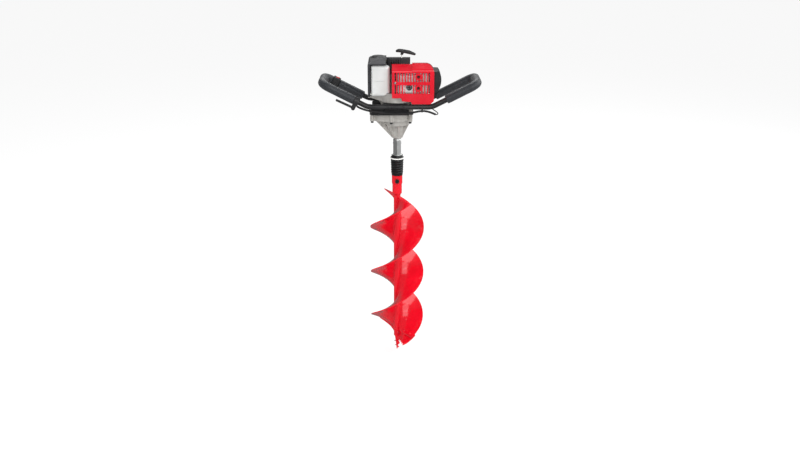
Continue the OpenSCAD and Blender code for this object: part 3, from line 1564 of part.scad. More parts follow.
// Square-sided housing with slats round its wall and a post for the pulley
module recoil_housing() {
    wall = 3;
    slat_pitch = 8;
    slat_w = 4;
    x0 = recoil_x - recoil_half;
    x1 = recoil_x + recoil_half;
    fall = 12;
    slats = 7;
    outline_r = 16;
    color(black) difference() {
        union() {
            difference() {
                extrude_z(z_recoil, z_recoil_top) round_rect([x0, -recoil_half - 5], [x1, recoil_half],
                    outline_r);
                extrude_z(z_recoil - cut, z_recoil_top - wall - fall)
                    round_rect([x0 + wall, -recoil_half - 5 + wall], [x1 - wall, recoil_half - wall],
                        outline_r - wall);
                extrude_x(x0 - cut, x1 + cut) polygon([
                    [-recoil_half + 6, z_recoil_top], [recoil_half + cut, z_recoil_top - fall],
                    [recoil_half + cut, z_recoil_top + cut], [-recoil_half + 6, z_recoil_top + cut]
                ]);
            }
            rod_z(post_d, z_pulley - 1, z_recoil_top - fall);
            difference() {
                rod_z(rope_d + 7, z_recoil + 22, z_recoil_top + 1, rope_at[0], rope_at[1]);
                rod_z(20, z_recoil_top - 1, z_recoil_top + 2, rope_at[0], rope_at[1] + 18);
            }
        }
        for (k = [0 : slats - 1]) let (x = x0 + 8 + slat_pitch * k)
            if (abs(x + slat_w / 2 - rope_at[0]) > 9)
                box([x, -recoil_half - 5 - cut, z_recoil + 34],
                    [x + slat_w, -recoil_half - 5 + wall + cut, z_recoil_top - 6]);
        for (k = [0 : 8]) let (y = -30 + slat_pitch * k)
            for (x = [x0 - cut, x1 - wall - cut])
                box([x, y, z_recoil + 10], [x + wall + 2 * cut, y + slat_w, z_recoil_top - fall - 14]);
        rod_z(rope_d + 1.2, z_rope - rope_d, z_recoil_top + 3, rope_at[0], rope_at[1]);
        hull() for (p = [[24, -8], rope_at]) rod_z(rope_d + 2, z_rope - rope_d, z_rope + rope_d, p[0], p[1]);
    }
}

module recoil_pulley() {
    rim = 3;
    color(black) translate([0, 0, z_pulley]) rotate_extrude() polygon([
        [post_d / 2 + run_clear, 0], [pulley_r + rim, 0], [pulley_r + rim, 2],
            [pulley_r - rope_d / 2 - 0.3, 3.5],
        [pulley_r - rope_d / 2 - 0.3, pulley_h - 3.5], [pulley_r + rim, pulley_h - 2],
            [pulley_r + rim, pulley_h],
        [post_d / 2 + run_clear, pulley_h]
    ]);
}

// Rope from the pulley's groove to the guide, where it turns up
module rope_lead() {
    wrap_r = pulley_r + 0.3;
    a = atan2(rope_at[1], rope_at[0]) + acos(wrap_r / norm(rope_at));
    leave = wrap_r * [cos(a), sin(a)];
    way = rope_at - leave;
    color(clear_white) translate([leave[0], leave[1], z_rope]) rotate([0, 0, atan2(way[1], way[0])]) union() {
        rotate([0, 90, 0]) cylinder(d = rope_d, h = norm(way) - rope_bend);
        translate([norm(way) - rope_bend, 0, 0]) rotate([90, 0, 0])
            translate([0, rope_bend, 0]) rotate([0, 0, -90]) rotate_extrude(angle = 90)
                translate([rope_bend, 0]) circle(d = rope_d);
    }
}

// Rope from the guide's foot up to the pull handle
module starter_rope() {
    low = z_rope + rope_bend + seat_clear;
    color(clear_white) rod_z(rope_d, low, rope_top - free_gap, rope_at[0], rope_at[1]);
}

// Two-lobed bar on a short stem
module pull_handle() {
    tilt = 11;
    bar_at = [5, 0, 9];
    color(black) translate([rope_at[0], rope_at[1], rope_top]) {
        hull($fn = 24) {
            translate(bar_at + [-1, 0, 3]) sphere(r = 6.5);
            cylinder(d = 9, h = 2);
        }
        translate(bar_at) rotate([0, tilt, 0]) {
            hull($fn = 24) {
                translate([-4, 0, 4]) sphere(r = 6.5);
                translate([-16, 0, 3]) sphere(r = 6);
                translate([-22, 0, 0]) sphere(r = 4.5);
            }
            hull($fn = 24) {
                translate([2, 0, 4]) sphere(r = 6.5);
                translate([20, 0, 4.5]) sphere(r = 6);
                translate([40, 0, 1]) sphere(r = 4.5);
            }
        }
    }
}

pilot_point();
bit_shaft();
flight_a();
flight_b();
cutting_blades();
bit_socket();
socket_bolt();
shock_stub();
shock_spring();
boot();
boot_ring();
hex_coupling();
coupling_pin();
output_shaft();
output_gear();
idler_shaft();
idler_gear();
clutch_drum();
gearbox_case();
gearbox_cover();
gearbox_bolts();
gearbox_bearings();
output_seal();
handle_bracket();
bracket_bolts();
handle_front_rail();
handle_rear_rail();
left_grip();
right_grip();
throttle_clamp();
throttle_lever();
switch_box();
switch_rocker();
control_cable();
crankshaft();
flywheel();
clutch_hub();
clutch_shoe_a();
clutch_shoe_b();
clutch_housing();
crankcase();
engine_cylinder();
spark_plug();
muffler();
engine_cover();
cover_screws();
head_cover();
carburettor();
carb_throttle();
air_filter_box();
choke_lever();
primer_bulb();
fuel_tank();
fuel_cap();
tank_guard();
recoil_housing();
recoil_pulley();
rope_lead();
starter_rope();
pull_handle();
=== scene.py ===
"""Looks of a one-person petrol earth auger: finishes, soft pieces, small fasteners, light and camera.

The CAD model is loaded as a fixed frame in metres. Most pieces made here ride on one of its bodies; the boot,
the spring and the rising rope are left fixed in place.
"""

import json
import math

import bmesh
import bpy
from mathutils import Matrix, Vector


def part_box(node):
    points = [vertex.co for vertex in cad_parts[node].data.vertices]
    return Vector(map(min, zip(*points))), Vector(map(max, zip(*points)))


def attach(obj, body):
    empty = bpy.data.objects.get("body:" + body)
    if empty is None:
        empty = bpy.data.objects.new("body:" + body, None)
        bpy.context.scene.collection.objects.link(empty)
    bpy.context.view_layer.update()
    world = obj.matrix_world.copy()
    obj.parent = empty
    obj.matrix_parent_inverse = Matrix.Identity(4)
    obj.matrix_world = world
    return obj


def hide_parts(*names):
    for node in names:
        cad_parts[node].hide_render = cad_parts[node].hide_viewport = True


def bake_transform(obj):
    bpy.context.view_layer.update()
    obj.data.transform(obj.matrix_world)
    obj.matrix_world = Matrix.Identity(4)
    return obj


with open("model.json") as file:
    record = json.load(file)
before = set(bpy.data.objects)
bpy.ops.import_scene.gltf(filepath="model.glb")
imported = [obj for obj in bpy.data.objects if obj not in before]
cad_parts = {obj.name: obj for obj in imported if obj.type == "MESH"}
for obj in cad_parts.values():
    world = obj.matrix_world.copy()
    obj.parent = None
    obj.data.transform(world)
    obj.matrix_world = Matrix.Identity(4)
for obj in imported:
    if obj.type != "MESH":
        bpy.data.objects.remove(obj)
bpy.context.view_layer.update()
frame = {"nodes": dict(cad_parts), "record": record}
MM = 0.001


def mm(*values):
    """A point given in millimetres, in metres."""
    return Vector(values) * MM


# ---------------------------------------------------------------- materials


class Surface:
    """A Principled material that is built up from procedural layers in object space."""

    def __init__(self, name, stretch=(1, 1, 1), edge=0.0):
        self.material = bpy.data.materials.new(name)
        self.material.use_nodes = True
        self.tree = self.material.node_tree
        self.shader = next(n for n in self.tree.nodes if n.type == "BSDF_PRINCIPLED")
        place = self.add("ShaderNodeTexCoord")
        self.mapping = self.add("ShaderNodeMapping")
        self.mapping.inputs["Scale"].default_value = stretch
        self.link(place.outputs["Object"], self.mapping.inputs["Vector"])
        self.height = self.soft_edges(edge) if edge else None

    def add(self, kind):
        return self.tree.nodes.new(kind)

    def link(self, start, end):
        self.tree.links.new(start, end)

    def soft_edges(self, radius):
        """Rounds the light over sharp edges by a radius in millimetres."""
        node = self.add("ShaderNodeBevel")
        node.samples = 4
        node.inputs["Radius"].default_value = radius * MM
        self.link(node.outputs["Normal"], self.shader.inputs["Normal"])
        return node.outputs["Normal"]

    def noise(self, scale, detail=3.0, rough=0.5):
        node = self.add("ShaderNodeTexNoise")
        node.inputs["Scale"].default_value = scale
        node.inputs["Detail"].default_value = detail
        node.inputs["Roughness"].default_value = rough
        self.link(self.mapping.outputs["Vector"], node.inputs["Vector"])
        return node.outputs["Fac"]

    def cells(self, scale):
        node = self.add("ShaderNodeTexVoronoi")
        node.inputs["Scale"].default_value = scale
        self.link(self.mapping.outputs["Vector"], node.inputs["Vector"])
        return node.outputs["Distance"]

    def colour(self, dark, light, source, low=0.3, high=0.7):
        ramp = self.add("ShaderNodeValToRGB")
        ramp.color_ramp.elements[0].position = low
        ramp.color_ramp.elements[0].color = (*dark, 1)
        ramp.color_ramp.elements[1].position = high
        ramp.color_ramp.elements[1].color = (*light, 1)
        self.link(source, ramp.inputs["Fac"])
        self.link(ramp.outputs["Color"], self.shader.inputs["Base Color"])
        return self

    def rough(self, low, high, source):
        span = self.add("ShaderNodeMapRange")
        span.inputs["From Min"].default_value = 0.3
        span.inputs["From Max"].default_value = 0.7
        span.inputs["To Min"].default_value = low
        span.inputs["To Max"].default_value = high
        self.link(source, span.inputs["Value"])
        self.link(span.outputs["Result"], self.shader.inputs["Roughness"])
        return self

    def bump(self, source, depth, strength=1.0):
        """Relief of the given depth in millimetres, on top of the relief so far."""
        node = self.add("ShaderNodeBump")
        node.inputs["Strength"].default_value = strength
        node.inputs["Distance"].default_value = depth * MM
        self.link(source, node.inputs["Height"])
        if self.height:
            self.link(self.height, node.inputs["Normal"])
        self.height = node.outputs["Normal"]
        self.link(self.height, self.shader.inputs["Normal"])
        return self

    def set(self, **values):
        for name, value in values.items():
            self.shader.inputs[name.replace("_", " ")].default_value = value
        return self


def gloss_paint(name, dark, light):
    """Powder coat: strong colour, clear gloss, a faint orange peel."""
    s = Surface(name, edge=0.9)
    s.colour(dark, light, s.noise(18)).rough(0.16, 0.24, s.noise(40))
    s.bump(s.noise(240, 1), 0.012, 0.5)
    return s.set(Coat_Weight=0.9, Coat_Roughness=0.04, Specular_IOR_Level=0.3).material


def cast_metal(name, dark, light):
    """Sand-cast alloy: grainy skin over broad, soft unevenness."""
    s = Surface(name, edge=1.2)
    s.colour(dark, light, s.noise(55, 5)).rough(0.42, 0.6, s.noise(240))
    s.bump(s.noise(90, 3), 0.25, 0.35).bump(s.noise(900, 3), 0.12, 0.55)
    return s.set(Metallic=0.55).material


def bright_metal(name, dark, light, rough, stretch=(1, 1, 14)):
    """Turned or drawn steel with fine tool marks across its axis."""
    s = Surface(name, stretch, edge=0.4)
    s.colour(dark, light, s.noise(45, 4)).rough(rough, rough + 0.16, s.noise(160, 4))
    s.bump(s.noise(340, 2), 0.03, 0.4)
    return s.set(Metallic=1.0).material


def moulded(name, dark, light, rough, grain=0.06, grain_scale=1400):
    """Moulded plastic or enamel with an eroded grain."""
    s = Surface(name, edge=0.8)
    s.colour(dark, light, s.noise(30, 3)).rough(rough, rough + 0.12, s.noise(180))
    s.bump(s.noise(grain_scale, 2), grain, 0.5)
    return s.set(Specular_IOR_Level=0.45).material


def foam_rubber():
    """Closed-cell foam: matt, with open pores in a fine skin."""
    s = Surface("foam_rubber")
    s.colour((0.014, 0.016, 0.02), (0.028, 0.031, 0.037), s.noise(260, 4)).rough(0.44, 0.58, s.noise(300))
    s.bump(s.cells(620), 0.12, 0.4).bump(s.noise(1700, 2), 0.06, 0.5)
    return s.set(Specular_IOR_Level=0.55, Sheen_Weight=0.1).material


def tank_plastic():
    """Milky blow-moulded plastic that lets some light through."""
    s = Surface("tank_plastic", edge=1.5)
    s.colour((0.5, 0.51, 0.5), (0.6, 0.61, 0.6), s.noise(16, 3)).rough(0.34, 0.46, s.noise(120))
    s.bump(s.noise(35, 2), 0.3, 0.25).bump(s.noise(1300, 2), 0.04, 0.4)
    return s.set(Subsurface_Weight=0.35, Subsurface_Scale=0.006, Subsurface_Radius=(1.0, 0.95, 0.85)).material


def clear_plastic():
    """Soft clear plastic of the primer bulb."""
    s = Surface("primer_plastic")
    s.colour((0.5, 0.52, 0.5), (0.66, 0.68, 0.66), s.noise(90)).rough(0.12, 0.2, s.noise(150))
    s.bump(s.noise(300, 2), 0.05, 0.3)
    return s.set(Transmission_Weight=0.45, IOR=1.45).material


def braided(name, dark, light):
    """Rope of plaited yarn."""
    s = Surface(name)
    s.colour(dark, light, s.noise(900, 3)).rough(0.7, 0.86, s.noise(500))
    s.bump(s.noise(2400, 2), 0.1, 0.6)
    return s.material


FINISH = {
    "red_paint": gloss_paint("red_paint", (0.62, 0.002, 0.011), (0.72, 0.004, 0.017)),
    "red_plastic": gloss_paint("red_plastic", (0.5, 0.004, 0.014), (0.58, 0.007, 0.021)),
    "switch_red": moulded("switch_red", (0.42, 0.01, 0.012), (0.55, 0.02, 0.02), 0.35),
    "black_steel": moulded("black_steel", (0.012, 0.012, 0.013), (0.022, 0.022, 0.023), 0.26, 0.04, 700),
    "bright_steel": bright_metal("bright_steel", (0.66, 0.66, 0.67), (0.84, 0.84, 0.85), 0.34),
    "zinc_steel": bright_metal("zinc_steel", (0.6, 0.64, 0.64), (0.82, 0.86, 0.85), 0.32, (1, 1, 1)),
    "shoe_iron": bright_metal("shoe_iron", (0.12, 0.11, 0.1), (0.22, 0.2, 0.19), 0.45, (1, 1, 1)),
    "black_rubber": moulded("black_rubber", (0.01, 0.01, 0.011), (0.02, 0.02, 0.021), 0.55, 0.08, 900),
    "boot_rubber": moulded("boot_rubber", (0.007, 0.007, 0.008), (0.013, 0.013, 0.014), 0.26, 0.02, 500),
    "heat_paint": moulded("heat_paint", (0.6, 0.6, 0.59), (0.72, 0.72, 0.71), 0.34, 0.03, 700),
    "plated_hex": bright_metal("plated_hex", (0.82, 0.84, 0.83), (0.94, 0.95, 0.94), 0.46, (1, 1, 1)),
    "white_ring": moulded("white_ring", (0.7, 0.7, 0.67), (0.82, 0.82, 0.8), 0.4),
    "cast_alloy": cast_metal("cast_alloy", (0.46, 0.44, 0.41), (0.6, 0.585, 0.555)),
    "foam": foam_rubber(),
    "black_plastic": moulded("black_plastic", (0.015, 0.015, 0.016), (0.026, 0.026, 0.028), 0.34),
    "guard_plastic": moulded("guard_plastic", (0.022, 0.023, 0.026), (0.036, 0.037, 0.041), 0.42, 0.09, 1100),
    "tank_plastic": tank_plastic(),
    "primer_clear": clear_plastic(),
    "rope": braided("rope", (0.5, 0.5, 0.47), (0.72, 0.72, 0.68)),
}

# The screws deep in the cover's bosses are made black as painted shade, the muffler has aluminium paint, the hex
# is plated
NODE_FINISH = {"cover_screws": "black_steel", "muffler": "heat_paint", "hex_coupling": "plated_hex"}


def finish_nodes():
    """Gives every CAD node the finish of its record slot."""
    for subpart in frame["record"]["subparts"]:
        finish = FINISH.get(NODE_FINISH.get(subpart["node"], subpart.get("material_slot")))
        node = frame["nodes"].get(subpart["node"])
        if finish is None or node is None:
            continue
        for slot in node.material_slots:
            slot.material = finish


finish_nodes()


# ---------------------------------------------------------------- mesh tools


def piece(name, verts, faces, slot, body, crease=35, replaces=(), ride=True, finish=None):
    """A closed mesh with smooth faces and sharp edges over the crease angle, riding on a body."""
    mesh = bpy.data.meshes.new(name)
    mesh.from_pydata([tuple(v) for v in verts], [], faces)
    shape = bmesh.new()
    shape.from_mesh(mesh)
    bmesh.ops.remove_doubles(shape, verts=shape.verts, dist=1e-7)
    bmesh.ops.recalc_face_normals(shape, faces=shape.faces)
    shape.to_mesh(mesh)
    shape.free()
    for face in mesh.polygons:
        face.use_smooth = True
    mesh.set_sharp_from_angle(angle=math.radians(crease))
    mesh.materials.append(FINISH[finish or slot])
    obj = bpy.data.objects.new(name, mesh)
    bpy.context.scene.collection.objects.link(obj)
    if ride:
        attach(obj, body)
    if replaces:
        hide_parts(*replaces)
    return obj


def corners(node):
    """Lowest and highest corner of a CAD node."""
    low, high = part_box(node)
    return Vector(low), Vector(high)


SLOT_OF = {subpart["node"]: subpart.get("material_slot") for subpart in frame["record"]["subparts"]}
BODY_OF = {node: body for body, nodes in frame["record"]["behaviour"]["bodies"].items() for node in nodes}


def smooth_copy(node, crease):
    """The same form as a faceted CAD node, with its facets welded and shaded as one surface."""
    source = frame["nodes"][node]
    shape = bmesh.new()
    shape.from_mesh(source.data)
    shape.transform(source.matrix_world)
    bmesh.ops.remove_doubles(shape, verts=shape.verts, dist=1e-6)
    verts = [v.co.copy() for v in shape.verts]
    faces = [tuple(v.index for v in face.verts) for face in shape.faces]
    shape.free()
    return piece(f"{node}_surface", verts, faces, SLOT_OF[node], BODY_OF[node], crease, (node,))


def loft(rings, closed=False):
    """Vertices and faces through rings of equal count, with end caps or closed on itself."""
    count = len(rings[0])
    verts = [v for ring in rings for v in ring]
    faces = []
    for i in range(len(rings) if closed else len(rings) - 1):
        a, b = i * count, (i + 1) % len(rings) * count
        for k in range(count):
            n = (k + 1) % count
            faces.append((a + k, a + n, b + n, b + k))
    if not closed:
        faces.append(tuple(range(count)))
        faces.append(tuple(range(len(verts) - count, len(verts))))
    return verts, faces


def join(*shapes):
    """Several vertex and face lists as one."""
    verts, faces = [], []
    for more_verts, more_faces in shapes:
        faces += [tuple(i + len(verts) for i in face) for face in more_faces]
        verts += more_verts
    return verts, faces


def frames_along(points):
    """A point, a normal and a binormal for each point of a path, with no twist."""
    ways = []
    for i in range(len(points)):
        way = points[min(i + 1, len(points) - 1)] - points[max(i - 1, 0)]
        ways.append(way.normalized())
    side = ways[0].orthogonal().normalized()
    result = []
    for point, way in zip(points, ways):
        side = (side - way * side.dot(way)).normalized()
        result.append((point, side, way.cross(side)))
    return result


def path_lengths(points):
    lengths = [0.0]
    for a, b in zip(points, points[1:]):
        lengths.append(lengths[-1] + (b - a).length)
    return lengths


def tube(points, radius, sides=20):
    """A round tube along a path. The radius is a size or a function of the length and the angle."""
    lengths = path_lengths(points)
    rings = []
    for (point, side, other), length in zip(frames_along(points), lengths):
        ring = []
        for k in range(sides):
            a = 2 * math.pi * k / sides
            r = radius(length, a) if callable(radius) else radius
            ring.append(point + side * (r * math.cos(a)) + other * (r * math.sin(a)))
        rings.append(ring)
    return loft(rings)


def sleeve(points, outer, bore, sides=32):
    """A tube with a bore along a path; the outer radius is a function of the length."""
    lengths = path_lengths(points)
    stations = list(zip(frames_along(points), lengths))

    def ring(station, r):
        point, side, other = station[0]
        turns = [2 * math.pi * k / sides for k in range(sides)]
        return [point + side * (r * math.cos(a)) + other * (r * math.sin(a)) for a in turns]

    rings = [ring(s, outer(s[1])) for s in stations] + [ring(s, bore) for s in reversed(stations)]
    return loft(rings, closed=True)


def lathe(profile, place, axis, sides=32, shape=None):
    """A turned form: (radius, height) pairs along an axis from a place. shape(angle) scales chosen rings."""
    turn = Vector((0, 0, 1)).rotation_difference(Vector(axis)).to_matrix()
    rings = []
    for entry in profile:
        r, h = entry[:2]
        ring = []
        for k in range(sides):
            a = 2 * math.pi * k / sides
            reach = r * shape(a) if shape and len(entry) > 2 else r
            ring.append(Vector(place) + turn @ Vector((reach * math.cos(a), reach * math.sin(a), h)))
        rings.append(ring)
    return loft(rings)


def hexagon(a):
    """Radius of a hexagon of unit inner radius at an angle."""
    return 1 / math.cos((a + math.pi / 6) % (math.pi / 3) - math.pi / 6)


def smooth_path(points, steps):
    """A Catmull-Rom curve through given points."""
    result = []
    for i in range(len(points) - 1):
        p0, p1 = points[max(i - 1, 0)], points[i]
        p2, p3 = points[i + 1], points[min(i + 2, len(points) - 1)]
        for s in range(steps):
            t = s / steps
            result.append(
                0.5
                * (
                    2 * p1
                    + (p2 - p0) * t
                    + (2 * p0 - 5 * p1 + 4 * p2 - p3) * t**2
                    + (3 * p1 - p0 - 3 * p2 + p3) * t**3
                )
            )
    return result + [points[-1]]


def resample(points, step):
    """Points at an even spacing along a path."""
    lengths = path_lengths(points)
    count = max(2, round(lengths[-1] / step))
    result, i = [], 0
    for k in range(count + 1):
        want = lengths[-1] * k / count
        while i < len(points) - 2 and lengths[i + 1] < want:
            i += 1
        span = lengths[i + 1] - lengths[i]
        result.append(points[i].lerp(points[i + 1], (want - lengths[i]) / span if span else 0))
    return result


# ---------------------------------------------------------------- small fasteners


def hex_head(place, axis, across, h, washer=1.35):
    """Hex head on a flange washer."""
    r = across / 2
    return lathe(
        [
            (r * washer, 0), (r * washer, h * 0.16), (r * 1.12, h * 0.24), (r, h * 0.24, "hex"),
            (r, h * 0.9, "hex"), (r * 0.86, h, "hex"),
        ],
        place, axis, 24, hexagon,
    )


def round_head(place, axis, d, h):
    """Domed carriage-bolt head."""
    r = d / 2
    dome = [(r * math.cos(a), h * math.sin(a)) for a in (0.0, 0.3, 0.6, 0.9, 1.2, 1.45)]
    return lathe([(r, -0.3 * MM)] + dome, place, axis, 24)


# ---------------------------------------------------------------- bit

BIT_R = 101.6
SHAFT_R = 12.7
FLIGHT_LEAD = 368
FLIGHT_TURNS = 1.49
FLIGHT_T = 3.6
FLIGHT_CANT = 10
FLIGHT_BOTTOM = 95
FLIGHT_START = 299 - 360 * FLIGHT_TURNS
BLADE_BOLT_RADII = (42, 78)
BLADE_BOLT_TURN = 5
BLADE_BOLT_D = 13
BLADE_BOLT_H = 2.8
PILOT_BOLT_Z = 78


def flight_point(r, turn, start):
    """Middle of the flight plate at a radius and an angle in degrees past its start."""
    height = FLIGHT_BOTTOM + FLIGHT_LEAD * turn / 360 + FLIGHT_CANT * (r - BIT_R) / (BIT_R - SHAFT_R)
    a = math.radians(start + turn)
    return mm(r * math.cos(a), r * math.sin(a), height)


def flight_normal(r, turn, start):
    along = flight_point(r, turn + 0.5, start) - flight_point(r, turn - 0.5, start)
    out = flight_point(r + 0.5, turn, start) - flight_point(r - 0.5, turn, start)
    return out.cross(along).normalized()


def weld_bead(start, up):
    """Rippled weld that joins a flight to the shaft, on its upper or lower side."""
    steps = 420
    rise = up * (FLIGHT_T * 2.6)
    r = SHAFT_R + 0.8
    points = [
        flight_point(r, 360 * FLIGHT_TURNS * i / steps, start) + mm(0, 0, rise) for i in range(4, steps - 3)
    ]
    return tube(points, lambda s, a: (2.3 + 0.22 * math.sin(s / (1.5 * MM))) * MM, 10)


def bit_details():
    for letter, start in (("a", FLIGHT_START), ("b", FLIGHT_START + 180)):
        for side, up in (("upper", 1), ("lower", -1)):
            piece(f"weld_{letter}_{side}", *weld_bead(start, up), "red_paint", "bit", 60)
        for k, r in enumerate(BLADE_BOLT_RADII):
            normal = flight_normal(r, BLADE_BOLT_TURN, start)
            top = flight_point(r, BLADE_BOLT_TURN, start) + normal * (FLIGHT_T / 2 * MM)
            head = round_head(top, normal, BLADE_BOLT_D * MM, BLADE_BOLT_H * MM)
            piece(f"blade_bolt_{letter}{k}", *head, "red_paint", "bit")
    socket_low, _ = corners("bit_socket")
    collar = [
        (SHAFT_R * MM, -2.6 * MM), (14.2 * MM, -2.4 * MM), (15.6 * MM, -1.2 * MM), (16.0 * MM, 0.4 * MM),
        (SHAFT_R * MM, 0.4 * MM),
    ]
    piece("socket_weld", *lathe(collar, (0, 0, socket_low.z), (0, 0, 1), 48), "red_paint", "bit", 60)
    pilot_head = hex_head(mm(0, -SHAFT_R + 0.1, PILOT_BOLT_Z), (0, -1, 0), 10 * MM, 5.5 * MM)
    piece("pilot_bolt", *pilot_head, "red_paint", "bit")


bit_details()
for faceted, crease_angle in (
    ("flight_a", 35), ("flight_b", 35), ("cutting_blades", 30), ("pilot_point", 40), ("pull_handle", 60),
    ("handle_front_rail", 50), ("handle_rear_rail", 50),
):
    smooth_copy(faceted, crease_angle)


# ---------------------------------------------------------------- shock coupling

Z_SOCKET_TOP = 728.32
Z_BOOT_TOP = 806.82
BOOT_RIBS = 6
BOOT_LOW_CUFF = 7
BOOT_HIGH_CUFF = 17
BOOT_R = 24
BOOT_VALLEY = 3.2
BOOT_FOOT_R = 20.75
BOOT_CUFF_R = 20.5
BOOT_BORE_R = 18.3
SPRING_WIRE = 5.5
SPRING_TURNS = 6


def boot_profile():
    """(radius, height) in millimetres from the foot to the cuff: round ribs that widen upwards."""
    rib_h = (Z_BOOT_TOP - Z_SOCKET_TOP - BOOT_LOW_CUFF - BOOT_HIGH_CUFF) / BOOT_RIBS
    low = Z_SOCKET_TOP + 0.3
    rib_z = Z_SOCKET_TOP + BOOT_LOW_CUFF
    profile = [(BOOT_FOOT_R - 0.8, low), (BOOT_FOOT_R, low + 0.8), (BOOT_FOOT_R, rib_z - 1.2)]
    per_rib = 14
    for i in range(BOOT_RIBS * per_rib + 1):
        k = i / per_rib
        crest = BOOT_FOOT_R + (BOOT_R - BOOT_FOOT_R) / 2 * (1 + k / BOOT_RIBS)
        wave = abs(math.sin(math.pi * k)) ** 0.7
        profile.append((crest - BOOT_VALLEY * (1 - wave), rib_z + rib_h * k))
    head = rib_z + rib_h * BOOT_RIBS
    profile += [
        (BOOT_R - 0.5, head + 1.4), (BOOT_R, head + 2.2), (BOOT_R, Z_BOOT_TOP - 9.6),
        (BOOT_R - 0.8, Z_BOOT_TOP - 8.8), (BOOT_CUFF_R + 0.5, Z_BOOT_TOP - 7.2), (BOOT_CUFF_R, Z_BOOT_TOP - 6.4),
        (BOOT_CUFF_R, Z_BOOT_TOP - 0.7), (BOOT_CUFF_R - 0.7, Z_BOOT_TOP),
    ]
    inside = [(BOOT_BORE_R, Z_BOOT_TOP), (BOOT_BORE_R, Z_BOOT_TOP - 13)]
    inside += [(max(BOOT_BORE_R, r - 2), z) for r, z in reversed(profile[3:-8])]
    return profile + inside + [(BOOT_BORE_R, low)]


def coupling_details():
    sides = 72
    rings = []
    for r, z in boot_profile():
        turns = [2 * math.pi * k / sides for k in range(sides)]
        rings.append([mm(r * math.cos(a), r * math.sin(a), z) for a in turns])
    boot = piece(
        "bellows_boot", *loft(rings, closed=True), "black_rubber", "drive", 50, ("boot",),
        ride=False, finish="boot_rubber",
    )
    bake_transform(boot)

    low, high = corners("shock_spring")
    wire = SPRING_WIRE / 2 * MM
    r = high.x - wire
    per_turn = 48
    steps = SPRING_TURNS * per_turn
    start, end = low.z + wire, high.z - wire
    points = []
    for i in range(steps + 1):
        a = 2 * math.pi * i / per_turn
        points.append(Vector((r * math.cos(a), r * math.sin(a), start + (end - start) * i / steps)))
    spring = piece(
        "coil_spring", *tube(points, wire, 14), "bright_steel", "drive", 60, ("shock_spring",), ride=False
    )
    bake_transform(spring)


coupling_details()


# ---------------------------------------------------------------- handle

HANDLE_X = 9.5
RAIL_R = 9.5
RAIL_Y = 70
RAIL_Z = 1001.12
LEG_X = 125.335
LEG_Z = 1007.66
LEG_ANGLE = math.radians(27)
LEG_RUN = 135.595
CORNER_R = 30
GRIP_R = 15.5
GRIP_BUTT = 0.2
# Where each foam starts along its leg, and how far its free and butted ends roll in
LEFT_FOAM_U = 40.3
RIGHT_FOAM_U = 43
RIGHT_REAR_FOAM_U = 6
LEFT_REAR_FOAM_U = 9
LEFT_REAR_FOAM_END = 28.3
FREE_ROLL = 1.9
BUTT_ROLL = 0.6


def leg_point(side, u, y, rise=0.0):
    """A point on a leg: u along it, y across, rise square to both."""
    x = LEG_X + u * math.cos(LEG_ANGLE) - rise * math.sin(LEG_ANGLE)
    return mm(HANDLE_X + side * x, y, LEG_Z + u * math.sin(LEG_ANGLE) + rise * math.cos(LEG_ANGLE))


def half_loop(side, row, u):
    """Centre line of the rail from a leg round its corner to the middle of the loop's end."""
    turns = [math.pi / 2 * i / 14 for i in range(15)]
    flat = [(u, RAIL_Y)] if u < LEG_RUN else []
    flat += [(LEG_RUN + CORNER_R * math.sin(a), RAIL_Y - CORNER_R * (1 - math.cos(a))) for a in turns]
    flat.append((LEG_RUN + CORNER_R, GRIP_BUTT / 2))
    return [leg_point(side, along, row * across) for along, across in flat]


def foam_radius(length, total, lips):
    """Outer radius of a foam sleeve: full, with rolled ends and a slight unevenness."""
    roll = 3.2 * MM
    lip = 0.0
    for end, depth in zip((length, total - length), lips):
        lip += depth * MM * (1 - min(1.0, end / roll)) ** 2
    wave = 0.1 * MM * math.sin(length / (17 * MM)) + 0.07 * MM * math.sin(length / (6.1 * MM))
    return GRIP_R * MM - lip + wave - 0.15 * MM


def foam_sleeve(name, points, lips, replaces=()):
    points = resample(points, 1.6 * MM)
    total = path_lengths(points)[-1]
    shape = sleeve(points, lambda s: foam_radius(s, total, lips), (RAIL_R + 0.06) * MM, 40)
    grip = piece(name, *shape, "foam", "machine", 50, replaces)
    return grip


def handle_details():
    butted, free = (FREE_ROLL, BUTT_ROLL), (FREE_ROLL, FREE_ROLL)
    rear_leg = [leg_point(-1, u, RAIL_Y) for u in (LEFT_REAR_FOAM_U, LEG_RUN - LEFT_REAR_FOAM_END)]
    foam_sleeve("left_foam", half_loop(-1, -1, LEFT_FOAM_U), butted, ("left_grip",))
    foam_sleeve("left_end_foam", half_loop(-1, 1, LEG_RUN), butted)
    foam_sleeve("left_rear_foam", rear_leg, free)
    foam_sleeve("right_foam", half_loop(1, -1, RIGHT_FOAM_U), butted, ("right_grip",))
    foam_sleeve("right_rear_foam", half_loop(1, 1, RIGHT_REAR_FOAM_U), butted)


handle_details()


# ---------------------------------------------------------------- cable

LOOM_R = 4
STRAND_R = 1.75
LOOM_ROUTE = [
    (-142, -70, 3), (-132, -70, -3), (-116, -71, -9), (-96, -72, -13.8), (-60, -73, -19), (-20, -73, -23),
    (20, -73, -24), (56, -73, -19), (88, -73, -13.8), (112, -73, -17), (136, -74, -26),
]
STRAND_ROUTE = [
    (136.4, -74, -26), (142, -72, -26), (144, -66, -23), (136, -60, -17), (120, -53, -7), (108, -40, 3),
    (102, -15, 8), (100, 15, 11), (99, 36, 18), (100, 48, 34), (102, 55, 54), (103, 58, 74), (101, 58, 91),
    (97.8, 58, 98),
]
# Points of the loom's route that are tied to the rail
TIED = {"cable_tie_right": 8, "cable_tie_left": 3}


def over_rail(route):
    return [mm(x, y, RAIL_Z + z) for x, y, z in route]


